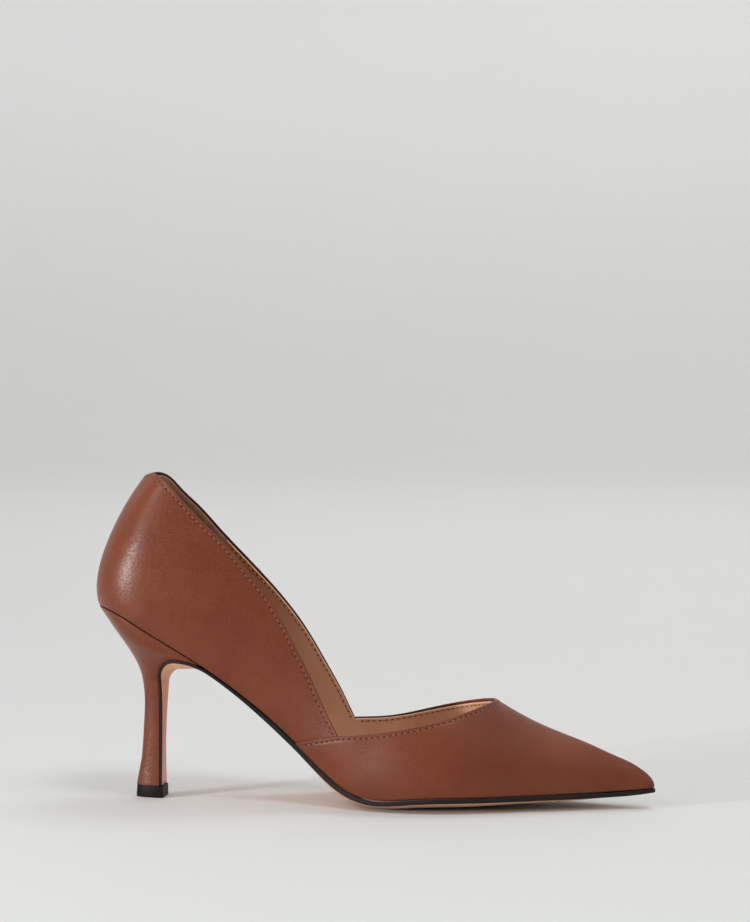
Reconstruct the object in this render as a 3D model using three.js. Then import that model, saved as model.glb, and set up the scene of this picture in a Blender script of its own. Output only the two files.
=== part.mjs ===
// A pointed-toe pump with open sides and a slim flared heel, the left shoe of a pair.
// Millimetres, +Z up, +X towards the toe, +Y to the outer side of the foot.
// The origin is the middle of the heel tip's floor face.
import * as THREE from "three";
import { mergeVertices } from "three/addons/utils/BufferGeometryUtils.js";

// Driving sizes of the last
const shoeLength = 244.6; // seat's back edge to the toe tip, in plan
const ballWidth = 70; // across the feather edge at the ball
const seatWidth = 47;
const seatEnd = 0.1; // share of shoeLength up to which the seat sets the width
const ballStart = 0.5; // share of shoeLength from which the ball sets it
const seatHeight = 85.5; // feather edge at the back, above the floor
const toeSpring = 3.6; // how far the toe tip's feather edge lifts above the ball's
const bottomCamber = 4.4; // how far the bottom sags below its edges at the ball
const floorSquash = 0.66; // how far the sole's belly is pressed flat where it stands
const throatHeight = 39.2; // top of the vamp at the throat, above the feather edge

// Upper
const upperWall = 1.8;
const counterHeight = 56.4; // back of the collar above the seat
const vampLength = 68.8; // toe tip to throat
const sideCutReach = 134.5; // toe tip to the lowest point of the inner side's cut
const sideCutLag = 1.8; // how much further back the outer side's cut lies
const sideHeight = 21.35; // wall left standing below the side cut
const wingReach = 20; // how far the vamp's wing laps back over the quarter
const wingStep = 0.9; // height of the vamp's edge over the quarter
const wingFade = 18; // distance over which that step dies away

// Sole, insole and heel
const clearance = 0.3;
const soleThickness = 2.0;
const soleMargin = 0.2; // how far the sole's edge stands out from the upper
const insoleThickness = 2.2;
const waistFade = 35; // distance over which the sole thins towards the heel
const insoleSetback = 9; // toe tip to the front of the insole
const breastReach = 27.2; // seat's back edge to the heel's front face
const archRadius = 10.6; // round the top of the heel's breast
const wedgeDepth = 4.9; // heel left between seat and arch
const wedgeEdge = 0.9; // heel's blunt edge under the seat
const archRun = 16.1; // from the top of the arch to where it meets the shank
const crownFullness = 3; // flatness of the middle of the sole's underside
const flapThickness = 1.1; // the sole's tongue down the heel's breast
const flapCrown = 4.2; // how far that tongue rounds out at the arch
const shaftWidth = 8.0; // the heel at its slimmest
const shaftDepth = 7.4;
const tipHeight = 5.4;
const tipLength = 13.1;
const tipWidth = 10.8;
const tipFlare = 0.35; // how much the tip widens to the floor on each side
const tipLip = 0.6; // how far the tip stands out in front of the sole's tongue

const archAlong = breastReach + archRadius;
const archReach = archAlong + archRun;

// Mesh density
const quarterStations = 23;
const sideStations = 9;
const topStations = 13;
const toeStations = 15;
const quarterRows = 8;
const vampRows = 8;
const liningRows = 8;
const soleStations = 58;
const insoleStations = 44;
const soleColumns = 8;
const flapStations = 20;
const heelStations = 26;
const heelPoints = 9;

// The last has one row here and one in wallSections for each section, from the seat's back to the toe tip.
// along: share of shoeLength. inner, outer: shares of the local width, seatWidth behind and ballWidth ahead.
// rise: share of the climb to the seat. spring: share of toeSpring. camber: share of bottomCamber.
const bottomSections = [
  { along: 0, inner: 0, outer: 0, rise: 1, spring: 0, camber: 0 },
  { along: 0.011, inner: 0.223, outer: 0.229, rise: 0.996, spring: 0, camber: 0.1 },
  { along: 0.04, inner: 0.399, outer: 0.41, rise: 0.974, spring: 0, camber: 0.3 },
  { along: 0.103, inner: 0.491, outer: 0.509, rise: 0.872, spring: 0, camber: 0.45 },
  { along: 0.197, inner: 0.417, outer: 0.464, rise: 0.696, spring: 0, camber: 0.25 },
  { along: 0.296, inner: 0.284, outer: 0.376, rise: 0.467, spring: 0, camber: 0.2 },
  { along: 0.386, inner: 0.267, outer: 0.389, rise: 0.225, spring: 0, camber: 0.5 },
  { along: 0.444, inner: 0.32, outer: 0.442, rise: 0.071, spring: 0, camber: 0.8 },
  { along: 0.501, inner: 0.4, outer: 0.5, rise: 0, spring: 0, camber: 0.85 },
  { along: 0.583, inner: 0.471, outer: 0.529, rise: 0, spring: 0.26, camber: 1 },
  { along: 0.678, inner: 0.436, outer: 0.464, rise: 0, spring: 0.5, camber: 0.95 },
  { along: 0.78, inner: 0.304, outer: 0.319, rise: 0, spring: 0.53, camber: 0.6 },
  { along: 0.883, inner: 0.169, outer: 0.177, rise: 0, spring: 0.64, camber: 0.3 },
  { along: 0.961, inner: 0.074, outer: 0.079, rise: 0, spring: 0.83, camber: 0 },
  { along: 0.992, inner: 0.037, outer: 0.039, rise: 0, spring: 0.97, camber: 0 },
  { along: 1, inner: 0, outer: 0, rise: 0, spring: 1, camber: 0 },
];

// ridgeAlong: share of shoeLength. crown: ridge above the feather edge, share of throatHeight.
// leanIn, leanOut: degrees that each wall starts outwards. wallPull, crownPull: fullness of wall and top.
const wallSections = [
  { ridgeAlong: 0.258, crown: 2.1, leanIn: 18, leanOut: 18, wallPull: 0.27, crownPull: 0.6 },
  { ridgeAlong: 0.262, crown: 2.11, leanIn: 18, leanOut: 18, wallPull: 0.27, crownPull: 0.6 },
  { ridgeAlong: 0.275, crown: 2.16, leanIn: 18, leanOut: 18, wallPull: 0.27, crownPull: 0.6 },
  { ridgeAlong: 0.304, crown: 2.32, leanIn: 17, leanOut: 17, wallPull: 0.27, crownPull: 0.58 },
  { ridgeAlong: 0.37, crown: 2.42, leanIn: 22, leanOut: 18, wallPull: 0.26, crownPull: 0.55 },
  { ridgeAlong: 0.444, crown: 2.42, leanIn: 34, leanOut: 22, wallPull: 0.24, crownPull: 0.53 },
  { ridgeAlong: 0.509, crown: 2.15, leanIn: 32, leanOut: 20, wallPull: 0.26, crownPull: 0.53 },
  { ridgeAlong: 0.545, crown: 2.05, leanIn: 24, leanOut: 18, wallPull: 0.3, crownPull: 0.53 },
  { ridgeAlong: 0.582, crown: 1.8, leanIn: 18, leanOut: 16, wallPull: 0.35, crownPull: 0.54 },
  { ridgeAlong: 0.63, crown: 1.41, leanIn: 12, leanOut: 13, wallPull: 0.45, crownPull: 0.55 },
  { ridgeAlong: 0.686, crown: 1.118, leanIn: 10, leanOut: 11, wallPull: 0.5, crownPull: 0.56 },
  { ridgeAlong: 0.78, crown: 0.772, leanIn: 9, leanOut: 10, wallPull: 0.52, crownPull: 0.57 },
  { ridgeAlong: 0.875, crown: 0.528, leanIn: 8, leanOut: 8, wallPull: 0.52, crownPull: 0.57 },
  { ridgeAlong: 0.936, crown: 0.349, leanIn: 7, leanOut: 7, wallPull: 0.45, crownPull: 0.56 },
  { ridgeAlong: 0.961, crown: 0.267, leanIn: 6, leanOut: 6, wallPull: 0.4, crownPull: 0.55 },
  { ridgeAlong: 0.967, crown: 0.242, leanIn: 5, leanOut: 5, wallPull: 0.4, crownPull: 0.55 },
];

// The collar of the quarter in side view, from the back down to the side cut.
// along: share of the way forwards. dropIn, dropOut: share of the way down, for each side.
const collarLine = [
  { along: 0, dropIn: 0, dropOut: 0 },
  { along: 0.06, dropIn: -0.013, dropOut: -0.008 },
  { along: 0.13, dropIn: 0.011, dropOut: 0.055 },
  { along: 0.22, dropIn: 0.08, dropOut: 0.129 },
  { along: 0.33, dropIn: 0.171, dropOut: 0.226 },
  { along: 0.45, dropIn: 0.266, dropOut: 0.326 },
  { along: 0.57, dropIn: 0.382, dropOut: 0.426 },
  { along: 0.68, dropIn: 0.5, dropOut: 0.528 },
  { along: 0.78, dropIn: 0.651, dropOut: 0.643 },
  { along: 0.87, dropIn: 0.794, dropOut: 0.774 },
  { along: 0.94, dropIn: 0.913, dropOut: 0.886 },
  { along: 1, dropIn: 1, dropOut: 1 },
];

// The vamp's top edge in side view, from the side cut to the throat.
// along: share of the way forwards. riseIn, riseOut: share of the way up, for each side.
const throatLine = [
  { along: 0, riseIn: 0, riseOut: 0 },
  { along: 0.25, riseIn: 0.138, riseOut: 0.07 },
  { along: 0.5, riseIn: 0.35, riseOut: 0.358 },
  { along: 0.75, riseIn: 0.638, riseOut: 0.692 },
  { along: 1, riseIn: 1, riseOut: 1 },
];

// One row for each section of the heel, from its foot to the seat.
// rise: share of the height of its back. sweep: 0 at the slimmest shaft, 1 at the seat's back edge.
// flare: 0 at shaftWidth, 1 at seatWidth.
// front: 0 to 1 up the breast, to 2 round the arch, to 3 at the shank.
// seat: how far the section has turned from a D into the seat's own outline.
const heelSections = [
  { rise: 0.0, sweep: 0.19, flare: 0.046, front: 0.0, seat: 0.0 },
  { rise: 0.067, sweep: 0.141, flare: 0.028, front: 0.112, seat: 0.0 },
  { rise: 0.167, sweep: 0.073, flare: 0.01, front: 0.28, seat: 0.0 },
  { rise: 0.306, sweep: 0.033, flare: 0.0, front: 0.514, seat: 0.0 },
  { rise: 0.444, sweep: 0.006, flare: 0.008, front: 0.746, seat: 0.0 },
  { rise: 0.532, sweep: 0.019, flare: 0.046, front: 0.894, seat: 0.0 },
  { rise: 0.599, sweep: 0.056, flare: 0.113, front: 1.05, seat: 0.02 },
  { rise: 0.668, sweep: 0.134, flare: 0.246, front: 1.3, seat: 0.1 },
  { rise: 0.746, sweep: 0.288, flare: 0.426, front: 1.6, seat: 0.28 },
  { rise: 0.819, sweep: 0.472, flare: 0.595, front: 1.85, seat: 0.5 },
  { rise: 0.879, sweep: 0.644, flare: 0.749, front: 2.06, seat: 0.7 },
  { rise: 0.932, sweep: 0.797, flare: 0.872, front: 2.26, seat: 0.86 },
  { rise: 0.972, sweep: 0.917, flare: 0.959, front: 2.45, seat: 0.96 },
  { rise: 1.0, sweep: 1.0, flare: 1.0, front: 2.6, seat: 1.0 },
];

const mix = (a, b, share) => a + (b - a) * share;
const clamp = (value, low, high) => Math.min(high, Math.max(low, value));
const smooth = (share) => {
  const s = clamp(share, 0, 1);
  return s * s * (3 - 2 * s);
};

// A smooth curve through the values at the knots. level makes it leave and arrive without slope.
function spline(knots, values, level) {
  const last = knots.length - 1;
  const bend = new Array(last + 1).fill(0);
  const carry = new Array(last + 1).fill(0);
  const step = (i) => knots[i + 1] - knots[i];
  const slope = (i) => (values[i + 1] - values[i]) / step(i);
  carry[0] = level ? -0.5 : 0;
  bend[0] = level ? (3 / step(0)) * slope(0) : 0;
  for (let i = 1; i < last; i++) {
    const share = step(i - 1) / (knots[i + 1] - knots[i - 1]);
    const pivot = share * carry[i - 1] + 2;
    carry[i] = (share - 1) / pivot;
    bend[i] = ((6 * (slope(i) - slope(i - 1))) / (knots[i + 1] - knots[i - 1]) - share * bend[i - 1]) / pivot;
  }
  const endPull = level ? -(3 / step(last - 1)) * slope(last - 1) : 0;
  const endShare = level ? 0.5 : 0;
  bend[last] = (endPull - endShare * bend[last - 1]) / (endShare * carry[last - 1] + 1);
  for (let i = last - 1; i >= 0; i--) bend[i] = carry[i] * bend[i + 1] + bend[i];
  return (at) => {
    let i = 0;
    while (i < last - 1 && at > knots[i + 1]) i++;
    const h = step(i);
    const a = (knots[i + 1] - at) / h;
    const b = (at - knots[i]) / h;
    const pull = ((a ** 3 - a) * bend[i] + (b ** 3 - b) * bend[i + 1]) * (h * h) / 6;
    return a * values[i] + b * values[i + 1] + pull;
  };
}

// Where a rising function of one number reaches the wanted value.
function reach(rising, wanted, low, high) {
  for (let i = 0; i < 48; i++) {
    const middle = (low + high) / 2;
    if (rising(middle) < wanted) low = middle;
    else high = middle;
  }
  return (low + high) / 2;
}

// Each column of the last's tables becomes a curve over one station number, 0 at the back, 1 at the toe.
const localWidth = (share) => mix(seatWidth, ballWidth, smooth((share - seatEnd) / (ballStart - seatEnd)));
const outline = bottomSections.map((row) => new THREE.Vector2(
  row.along * shoeLength,
  ((row.inner + row.outer) / 2) * localWidth(row.along),
));
const reachedAt = [0];
outline.slice(1).forEach((p, i) => reachedAt.push(reachedAt[i] + p.distanceTo(outline[i])));
const stationKnots = reachedAt.map((run) => run / reachedAt[outline.length - 1]);
const lastSections = bottomSections.map((row, i) => ({ ...row, ...wallSections[i] }));
const column = (name, level) => spline(stationKnots, lastSections.map((row) => row[name]), level);
const along = column("along", true);
const widths = { inner: column("inner", false), outer: column("outer", false) };
const leans = { inner: column("leanIn", true), outer: column("leanOut", true) };
const rise = column("rise", true);
const spring = column("spring", true);
const camberShare = column("camber", true);
const ridgeAlong = column("ridgeAlong", true);
const crown = column("crown", true);
const wallPull = column("wallPull", true);
const crownPull = column("crownPull", true);

const ballCamber = bottomSections.find((row) => row.rise === 0).camber * bottomCamber;
const ballHeight = soleThickness + clearance + ballCamber - floorSquash;
const sideSign = { inner: -1, outer: 1 };

function feather(side, u) {
  return new THREE.Vector3(
    along(u) * shoeLength,
    sideSign[side] * Math.max(0, widths[side](u)) * localWidth(along(u)),
    ballHeight + rise(u) * (seatHeight - ballHeight) + spring(u) * toeSpring,
  );
}

function ridge(u) {
  const top = feather("inner", u).z + crown(u) * throatHeight;
  return new THREE.Vector3(ridgeAlong(u) * shoeLength, 0, top);
}

const nudge = 0.004;
function ridgeSlope(u) {
  const at = clamp(u, nudge, 1 - 2 * nudge);
  const back = ridge(at - nudge);
  const front = ridge(at + nudge);
  return (front.z - back.z) / (front.x - back.x);
}

// Outward direction of the feather edge in plan.
function outward(side, u) {
  if (u <= 0) return new THREE.Vector3(-1, 0, 0);
  if (u >= 1) return new THREE.Vector3(1, 0, 0);
  const near = Math.min(nudge, u, 1 - u);
  const run = feather(side, u + near).sub(feather(side, u - near));
  return new THREE.Vector3(-run.y, run.x, 0).multiplyScalar(sideSign[side]).normalize();
}

// A point of the last: up the wall from the feather edge, 0, over to the ridge, 1.
function lastPoint(side, u, up) {
  const foot = feather(side, u);
  const top = ridge(u);
  const lean = THREE.MathUtils.degToRad(leans[side](u));
  const pull = wallPull(u) * (top.z - foot.z);
  const wallHandle = outward(side, u).multiplyScalar(pull * Math.sin(lean)).add(foot);
  wallHandle.z += pull * Math.cos(lean);
  const across = new THREE.Vector3(foot.x - top.x, foot.y - top.y, 0);
  across.z = ridgeSlope(u) * across.x;
  const crownHandle = across.multiplyScalar(crownPull(u)).add(top);
  return new THREE.CubicBezierCurve3(foot, wallHandle, crownHandle, top).getPoint(up);
}

function lastNormal(side, u, up) {
  if (up >= 1) return new THREE.Vector3(-ridgeSlope(u), 0, 1).normalize();
  const low = Math.max(0, up - nudge);
  const high = Math.min(1, up + nudge);
  const rising = lastPoint(side, u, high).sub(lastPoint(side, u, low));
  if (u <= 0 || u >= 1) {
    const facing = u <= 0 ? -1 : 1;
    return new THREE.Vector3(facing * rising.z, 0, -facing * rising.x).normalize();
  }
  const near = Math.min(nudge, u, 1 - u);
  const forwards = lastPoint(side, u + near, up).sub(lastPoint(side, u - near, up));
  return forwards.cross(rising).multiplyScalar(-sideSign[side]).normalize();
}

const stationAt = (x) => reach((u) => along(u) * shoeLength, x, 0, 1);

// The bottom of the last in side view: its height and its slope at a distance from the back.
function bottomLine(x) {
  const u = stationAt(x);
  const back = stationAt(x - 1);
  const front = stationAt(x + 1);
  const height = feather("inner", u).z;
  const climb = feather("inner", front).z - feather("inner", back).z;
  const slope = climb / (shoeLength * (along(front) - along(back)));
  return { height, slope, camber: camberShare(u) * bottomCamber };
}

// A point below or above the last's bottom, squarely off it. across runs from -1 to 1.
function bottomPoint(x, y, across, offset) {
  const line = bottomLine(x);
  const sag = line.camber * (1 - Math.abs(across) ** crownFullness);
  const square = Math.hypot(1, line.slope);
  const off = offset - sag;
  return new THREE.Vector3(x - (off * line.slope) / square, y, line.height + off / square);
}

// Closed solids from grids of points

function solid(name, grids, material) {
  const points = [];
  for (const grid of grids) {
    for (let i = 0; i + 1 < grid.length; i++) {
      for (let j = 0; j + 1 < grid[i].length; j++) {
        const [a, b, c, d] = [grid[i][j], grid[i + 1][j], grid[i + 1][j + 1], grid[i][j + 1]];
        if (a.distanceTo(c) <= b.distanceTo(d)) points.push(a, b, c, a, c, d);
        else points.push(a, b, d, b, c, d);
      }
    }
  }
  const flat = new Float32Array(points.flatMap((p) => [p.x, p.y, p.z]));
  const loose = new THREE.BufferGeometry().setAttribute("position", new THREE.BufferAttribute(flat, 3));
  const merged = mergeVertices(loose, 2e-3);
  const index = merged.index.array;
  const kept = [];
  for (let i = 0; i < index.length; i += 3) {
    const [a, b, c] = [index[i], index[i + 1], index[i + 2]];
    if (a !== b && b !== c && a !== c) kept.push(a, b, c);
  }
  merged.setIndex(kept);
  merged.computeVertexNormals();
  const mesh = new THREE.Mesh(merged, material);
  mesh.name = name;
  return mesh;
}

const flipped = (grid) => grid.map((row) => [...row].reverse());
const spread = (count, shape = (s) => s) => Array.from({ length: count + 1 }, (_, i) => shape(i / count));

// Upper: where the collar cuts the last

const innerCut = shoeLength - sideCutReach;
const cutAlong = { inner: innerCut, outer: innerCut - sideCutLag };
const cutHeight = {
  inner: bottomLine(cutAlong.inner).height + sideHeight,
  outer: bottomLine(cutAlong.outer).height + sideHeight,
};
const throatAlong = shoeLength - vampLength;
const throatStation = reach((u) => ridgeAlong(u) * shoeLength, throatAlong, 0, 1);
const throatTop = ridge(throatStation).z;
const collarBackHeight = seatHeight + counterHeight;
const collarBackUp = reach((up) => lastPoint("inner", 0, up).z, collarBackHeight, 0, 1);
const collarBackAlong = lastPoint("inner", 0, collarBackUp).x;
const tableCurve = (rows, name) => spline(rows.map((row) => row.along), rows.map((row) => row[name]), false);
const collarDrops = { inner: tableCurve(collarLine, "dropIn"), outer: tableCurve(collarLine, "dropOut") };
const throatRises = { inner: tableCurve(throatLine, "riseIn"), outer: tableCurve(throatLine, "riseOut") };

function collarHeight(side, x) {
  const cut = cutAlong[side];
  if (x <= cut) {
    const share = clamp((x - collarBackAlong) / (cut - collarBackAlong), 0, 1);
    return mix(collarBackHeight, cutHeight[side], collarDrops[side](share));
  }
  const share = clamp((x - cut) / (throatAlong - cut), 0, 1);
  return mix(cutHeight[side], throatTop, throatRises[side](share));
}

function collarUp(side, u) {
  if (u >= throatStation) return 1;
  const above = (up) => {
    const p = lastPoint(side, u, up);
    return p.z - collarHeight(side, p.x);
  };
  return reach(above, 0, 0, 1);
}

// The seam where the vamp's wing laps over the quarter, in side view.
function upperLayout(side) {
  const cut = cutAlong[side];
  const wingAlong = cut - wingReach;
  const wingHeight = bottomLine(wingAlong).height;
  const wingStation = stationAt(wingAlong);
  const cutStation = reach((u) => lastPoint(side, u, collarUp(side, u)).x, cut, 0, throatStation);
  const seamHeight = (x) => mix(wingHeight, cutHeight[side], (x - wingAlong) / wingReach);
  const seamShare = (u, top) => {
    if (u <= wingStation) return 0;
    if (u >= cutStation) return 1;
    const above = (up) => {
      const p = lastPoint(side, u, up);
      return p.z - seamHeight(p.x);
    };
    return clamp(reach(above, 0, 0, top) / top, 0, 1);
  };
  const stepAt = (u, p) => {
    if (u <= wingStation) return 0;
    const ahead = Math.max(0, p.x - cut);
    const below = Math.max(0, seamHeight(Math.min(p.x, cut)) - p.z);
    return wingStep * (1 - smooth(Math.hypot(ahead, below) / wingFade));
  };
  const stations = [
    ...spread(quarterStations, (s) => wingStation * s ** 1.15).slice(0, -1),
    ...spread(sideStations, (s) => mix(wingStation, cutStation, s)),
    ...spread(topStations, (s) => mix(cutStation, throatStation, 1 - (1 - s) ** 1.7)).slice(1),
    ...spread(toeStations, (s) => mix(throatStation, 1, 1 - (1 - s) ** 1.4)).slice(1),
  ];
  return stations.map((u) => {
    const top = collarUp(side, u);
    const seam = seamShare(u, top);
    const at = (share, off) => {
      const up = share * top;
      const p = lastPoint(side, u, up);
      const lift = off ?? stepAt(u, p);
      const facing = share === 0 && lift > 0 ? outward(side, u) : lastNormal(side, u, up);
      return p.addScaledVector(facing, lift);
    };
    return {
      outside: [
        ...spread(vampRows, (s) => at(s * seam)),
        ...spread(quarterRows, (s) => at(mix(seam, 1, s), 0)),
      ],
      inside: spread(liningRows, (s) => at(1 - s, -upperWall)),
      closed: u >= throatStation,
    };
  });
}

function makeUpper(material) {
  const grids = [];
  for (const side of ["inner", "outer"]) {
    const turn = side === "inner" ? (grid) => grid : flipped;
    const rings = upperLayout(side);
    const rim = rings.filter((ring, i) => !ring.closed || !rings[i - 1].closed);
    const topOf = (ring) => [ring.outside[ring.outside.length - 1], ring.inside[0]];
    const footOf = (ring) => [ring.inside[ring.inside.length - 1], ring.outside[0]];
    grids.push(turn(rings.map((ring) => ring.outside)));
    grids.push(turn(rings.map((ring) => ring.inside)));
    grids.push(turn(rim.map(topOf)));
    grids.push(turn(rings.map(footOf)));
  }
  return solid("upper", grids, material);
}

// Heel breast in side view: up the shaft, round the arch and out to the shank

const breastFoot = tipHeight + clearance;
const archTop = bottomLine(archAlong).height - clearance - wedgeDepth;
const springTop = archTop - archRadius;
const shankJoin = bottomPoint(archReach, 0, 1, -clearance);
const joinSlope = bottomLine(archReach).slope;
const joinPull = archRun / 3;
const archOut = new THREE.CubicBezierCurve(
  new THREE.Vector2(archAlong, archTop),
  new THREE.Vector2(archAlong + joinPull, archTop),
  new THREE.Vector2(shankJoin.x - joinPull, shankJoin.z - joinPull * joinSlope),
  new THREE.Vector2(shankJoin.x, shankJoin.z),
);

// front runs from 0 to 1 up the shaft, to 2 round the arch and to 3 at the shank.
function breastLine(front) {
  if (front <= 1) return new THREE.Vector2(breastReach, mix(breastFoot, springTop, front));
  if (front <= 2) {
    const angle = (front - 1) * (Math.PI / 2);
    const round = new THREE.Vector2(-Math.cos(angle), Math.sin(angle)).multiplyScalar(archRadius);
    return round.add(new THREE.Vector2(archAlong, springTop));
  }
  return archOut.getPoint(front - 2);
}

// A point off the breast, moved squarely towards its hollow side, with the crown that rounds it out.
function breastPoint(front, y, across, offset) {
  const line = breastLine(front);
  const run = breastLine(Math.min(3, front + 0.01)).sub(breastLine(Math.max(0, front - 0.01))).normalize();
  const rounding = mix(flapCrown, bottomLine(archReach).camber, smooth(front - 2)) * smooth(front / 2);
  const off = offset + rounding * (1 - Math.abs(across) ** crownFullness);
  return new THREE.Vector3(line.x + off * run.y, y, line.y - off * run.x);
}

// Heel

const heelKnots = heelSections.map((row, i) => i / (heelSections.length - 1));
const heelColumn = (name) => spline(heelKnots, heelSections.map((row) => row[name]), false);
const heelShare = Object.fromEntries(Object.keys(heelSections[0]).map((name) => [name, heelColumn(name)]));
const heelFront = heelSections[heelSections.length - 1].front;
const heelReach = breastPoint(heelFront, 0, 1, -clearance).x;
const seatRim = (x) => bottomPoint(Math.max(x, 0), 0, 1, -clearance).z;

// A point of the heel's skin. round runs from its front corner, 0, to the middle of its back, 1.
function heelPoint(side, s, round) {
  const front = breastPoint(clamp(heelShare.front(s), 0, heelFront), 0, 1, -clearance);
  const seat = clamp(heelShare.seat(s), 0, 1);
  const depth = mix(shaftDepth, breastReach, heelShare.sweep(s));
  const backHeight = mix(breastFoot, seatHeight - wedgeEdge, heelShare.rise(s));
  const half = mix(shaftWidth, seatWidth, heelShare.flare(s)) / 2;
  const angle = round * (Math.PI / 2);
  const edge = feather(side, stationAt(heelReach) * (1 - round));
  const deep = mix(Math.sin(angle), 1 - edge.x / heelReach, seat);
  const wide = mix(Math.cos(angle) * half, Math.abs(edge.y), seat);
  const backReach = breastReach - depth;
  const x = mix(front.x, backReach, deep);
  const bow = seatRim(x) - mix(seatRim(front.x), seatRim(backReach), deep);
  return new THREE.Vector3(x, sideSign[side] * wide, mix(front.z, backHeight, deep) + seat ** 3 * bow);
}

const heelAcross = (s, round, t) => heelPoint("inner", s, round).lerp(heelPoint("outer", s, round), t);

function makeHeel(material) {
  const rounds = spread(heelPoints, (s) => 1 - (1 - s) ** 1.25);
  const shares = spread(soleColumns);
  const seatPoint = (round, t) => {
    const p = heelAcross(1, round, t);
    return bottomPoint(clamp(p.x, 0, heelReach), p.y, round >= 1 ? 1 : 2 * t - 1, -clearance);
  };
  const faceFront = (s, t) => {
    const edge = heelAcross(s, 0, t);
    return breastPoint(clamp(heelShare.front(s), 0, heelFront), edge.y, 2 * t - 1, -clearance);
  };
  const ring = (at, face) => [
    ...rounds.map((round) => at(round, 0)),
    ...[...rounds].reverse().slice(1).map((round) => at(round, 1)),
    ...[...shares].reverse().slice(1).map((t) => face(t)),
  ];
  const skin = spread(heelStations)
    .map((s) => ring((round, t) => heelAcross(s, round, t), (t) => faceFront(s, t)));
  skin.push(ring(seatPoint, (t) => seatPoint(0, t)));
  const foot = rounds.map((round) => shares.map((t) => heelAcross(0, round, t)));
  foot[0] = shares.map((t) => faceFront(0, t));
  const seat = rounds.map((round) => shares.map((t) => seatPoint(round, t)));
  return solid("heel", [skin, foot, flipped(seat)], material);
}

function makeTopPiece(material) {
  const rounds = spread(heelPoints);
  const shares = spread(2);
  const point = (z, round, t) => {
    const flare = tipFlare * (1 - z / tipHeight);
    const angle = round * (Math.PI / 2);
    const x = breastReach + flapThickness + tipLip - (tipLength - tipFlare + flare) * Math.sin(angle);
    return new THREE.Vector3(x, (2 * t - 1) * (tipWidth / 2 - tipFlare + flare) * Math.cos(angle), z);
  };
  const ring = (z) => [
    ...rounds.map((round) => point(z, round, 0)),
    ...[...rounds].reverse().slice(1).map((round) => point(z, round, 1)),
    point(z, 0, 0.5),
    point(z, 0, 0),
  ];
  const face = (z) => rounds.map((round) => shares.map((t) => point(z, round, t)));
  return solid("top_piece", [[ring(0), ring(tipHeight)], face(0), flipped(face(tipHeight))], material);
}

// Sole: one sweep from the toe along the bottom, round the arch and down the heel's breast

function bottomEdge(side, u, inset) {
  return feather(side, u).addScaledVector(outward(side, u), -inset);
}

// Points across the bottom at one station, an inset in from the feather edge and an offset off the last.
function bottomRow(u, inset, offset) {
  const edges = [bottomEdge("inner", u, inset), bottomEdge("outer", u, inset)];
  const full = feather("outer", u).y - feather("inner", u).y;
  const ratio = full > 0.01 ? (edges[1].y - edges[0].y) / full : 1;
  return spread(soleColumns).map((t) => {
    const p = edges[0].clone().lerp(edges[1], t);
    return bottomPoint(p.x, p.y, Math.min(1, Math.abs(2 * t - 1) * ratio), offset);
  });
}

function breastHalf(side, front) {
  if (front >= heelFront) return Math.abs(feather(side, stationAt(breastLine(front).x)).y);
  return Math.abs(heelPoint(side, reach(heelShare.front, front, 0, 1), 0).y);
}

function flapRow(front, offset) {
  const halves = [-breastHalf("inner", front), breastHalf("outer", front)];
  return spread(soleColumns).map((t) => breastPoint(front, mix(halves[0], halves[1], t), 2 * t - 1, offset));
}

function plateAt(u) {
  const forepart = smooth((along(u) * shoeLength - archReach) / waistFade);
  const margin = soleMargin * forepart;
  const top = bottomRow(u, -margin, -clearance);
  const under = bottomRow(u, -margin, -clearance - mix(flapThickness, soleThickness, forepart));
  for (const p of under) p.z = Math.max(0, p.z);
  return { top, under };
}

function makeSole(material) {
  const plate = spread(soleStations, (s) => mix(1, stationAt(archReach), s)).map(plateAt);
  const flap = spread(flapStations, (s) => 3 * (1 - s)).slice(1)
    .map((front) => ({ top: flapRow(front, 0), under: flapRow(front, flapThickness) }));
  return sheet("outsole", [...plate, ...flap], material);
}

function makeInsole(material) {
  const inset = upperWall + clearance;
  const toe = stationAt(shoeLength - insoleSetback);
  const rows = spread(insoleStations, (s) => toe * (1 - s))
    .map((u) => ({ top: bottomRow(u, inset, insoleThickness), under: bottomRow(u, inset, 0) }));
  return sheet("insole", rows, material);
}

// A solid from rows that each have a top and an underside.
function sheet(name, rows, material) {
  const end = rows[rows.length - 1];
  const grids = [
    flipped(rows.map((row) => row.top)),
    rows.map((row) => row.under),
    rows.map((row) => [row.top[0], row.under[0]]),
    rows.map((row) => [row.under[soleColumns], row.top[soleColumns]]),
    [end.under, end.top],
    [rows[0].top, rows[0].under],
  ];
  return solid(name, grids, material);
}

const leather = new THREE.MeshStandardMaterial({ color: 0x7c4431, roughness: 0.45 });
const soleLeather = new THREE.MeshStandardMaterial({ color: 0xb9805c, roughness: 0.6 });
const lining = new THREE.MeshStandardMaterial({ color: 0xa87a5c, roughness: 0.6 });
const rubber = new THREE.MeshStandardMaterial({ color: 0x1c1a19, roughness: 0.7 });

const shoe = new THREE.Group();
shoe.add(
  makeUpper(leather),
  makeInsole(lining),
  makeSole(soleLeather),
  makeHeel(leather),
  makeTopPiece(rubber),
);
shoe.position.x = tipLength / 2 - breastReach - flapThickness - tipLip;
export default shoe;
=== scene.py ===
import math

import bmesh
import bpy
import numpy as np
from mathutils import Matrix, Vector
from mathutils.bvhtree import BVHTree


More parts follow.
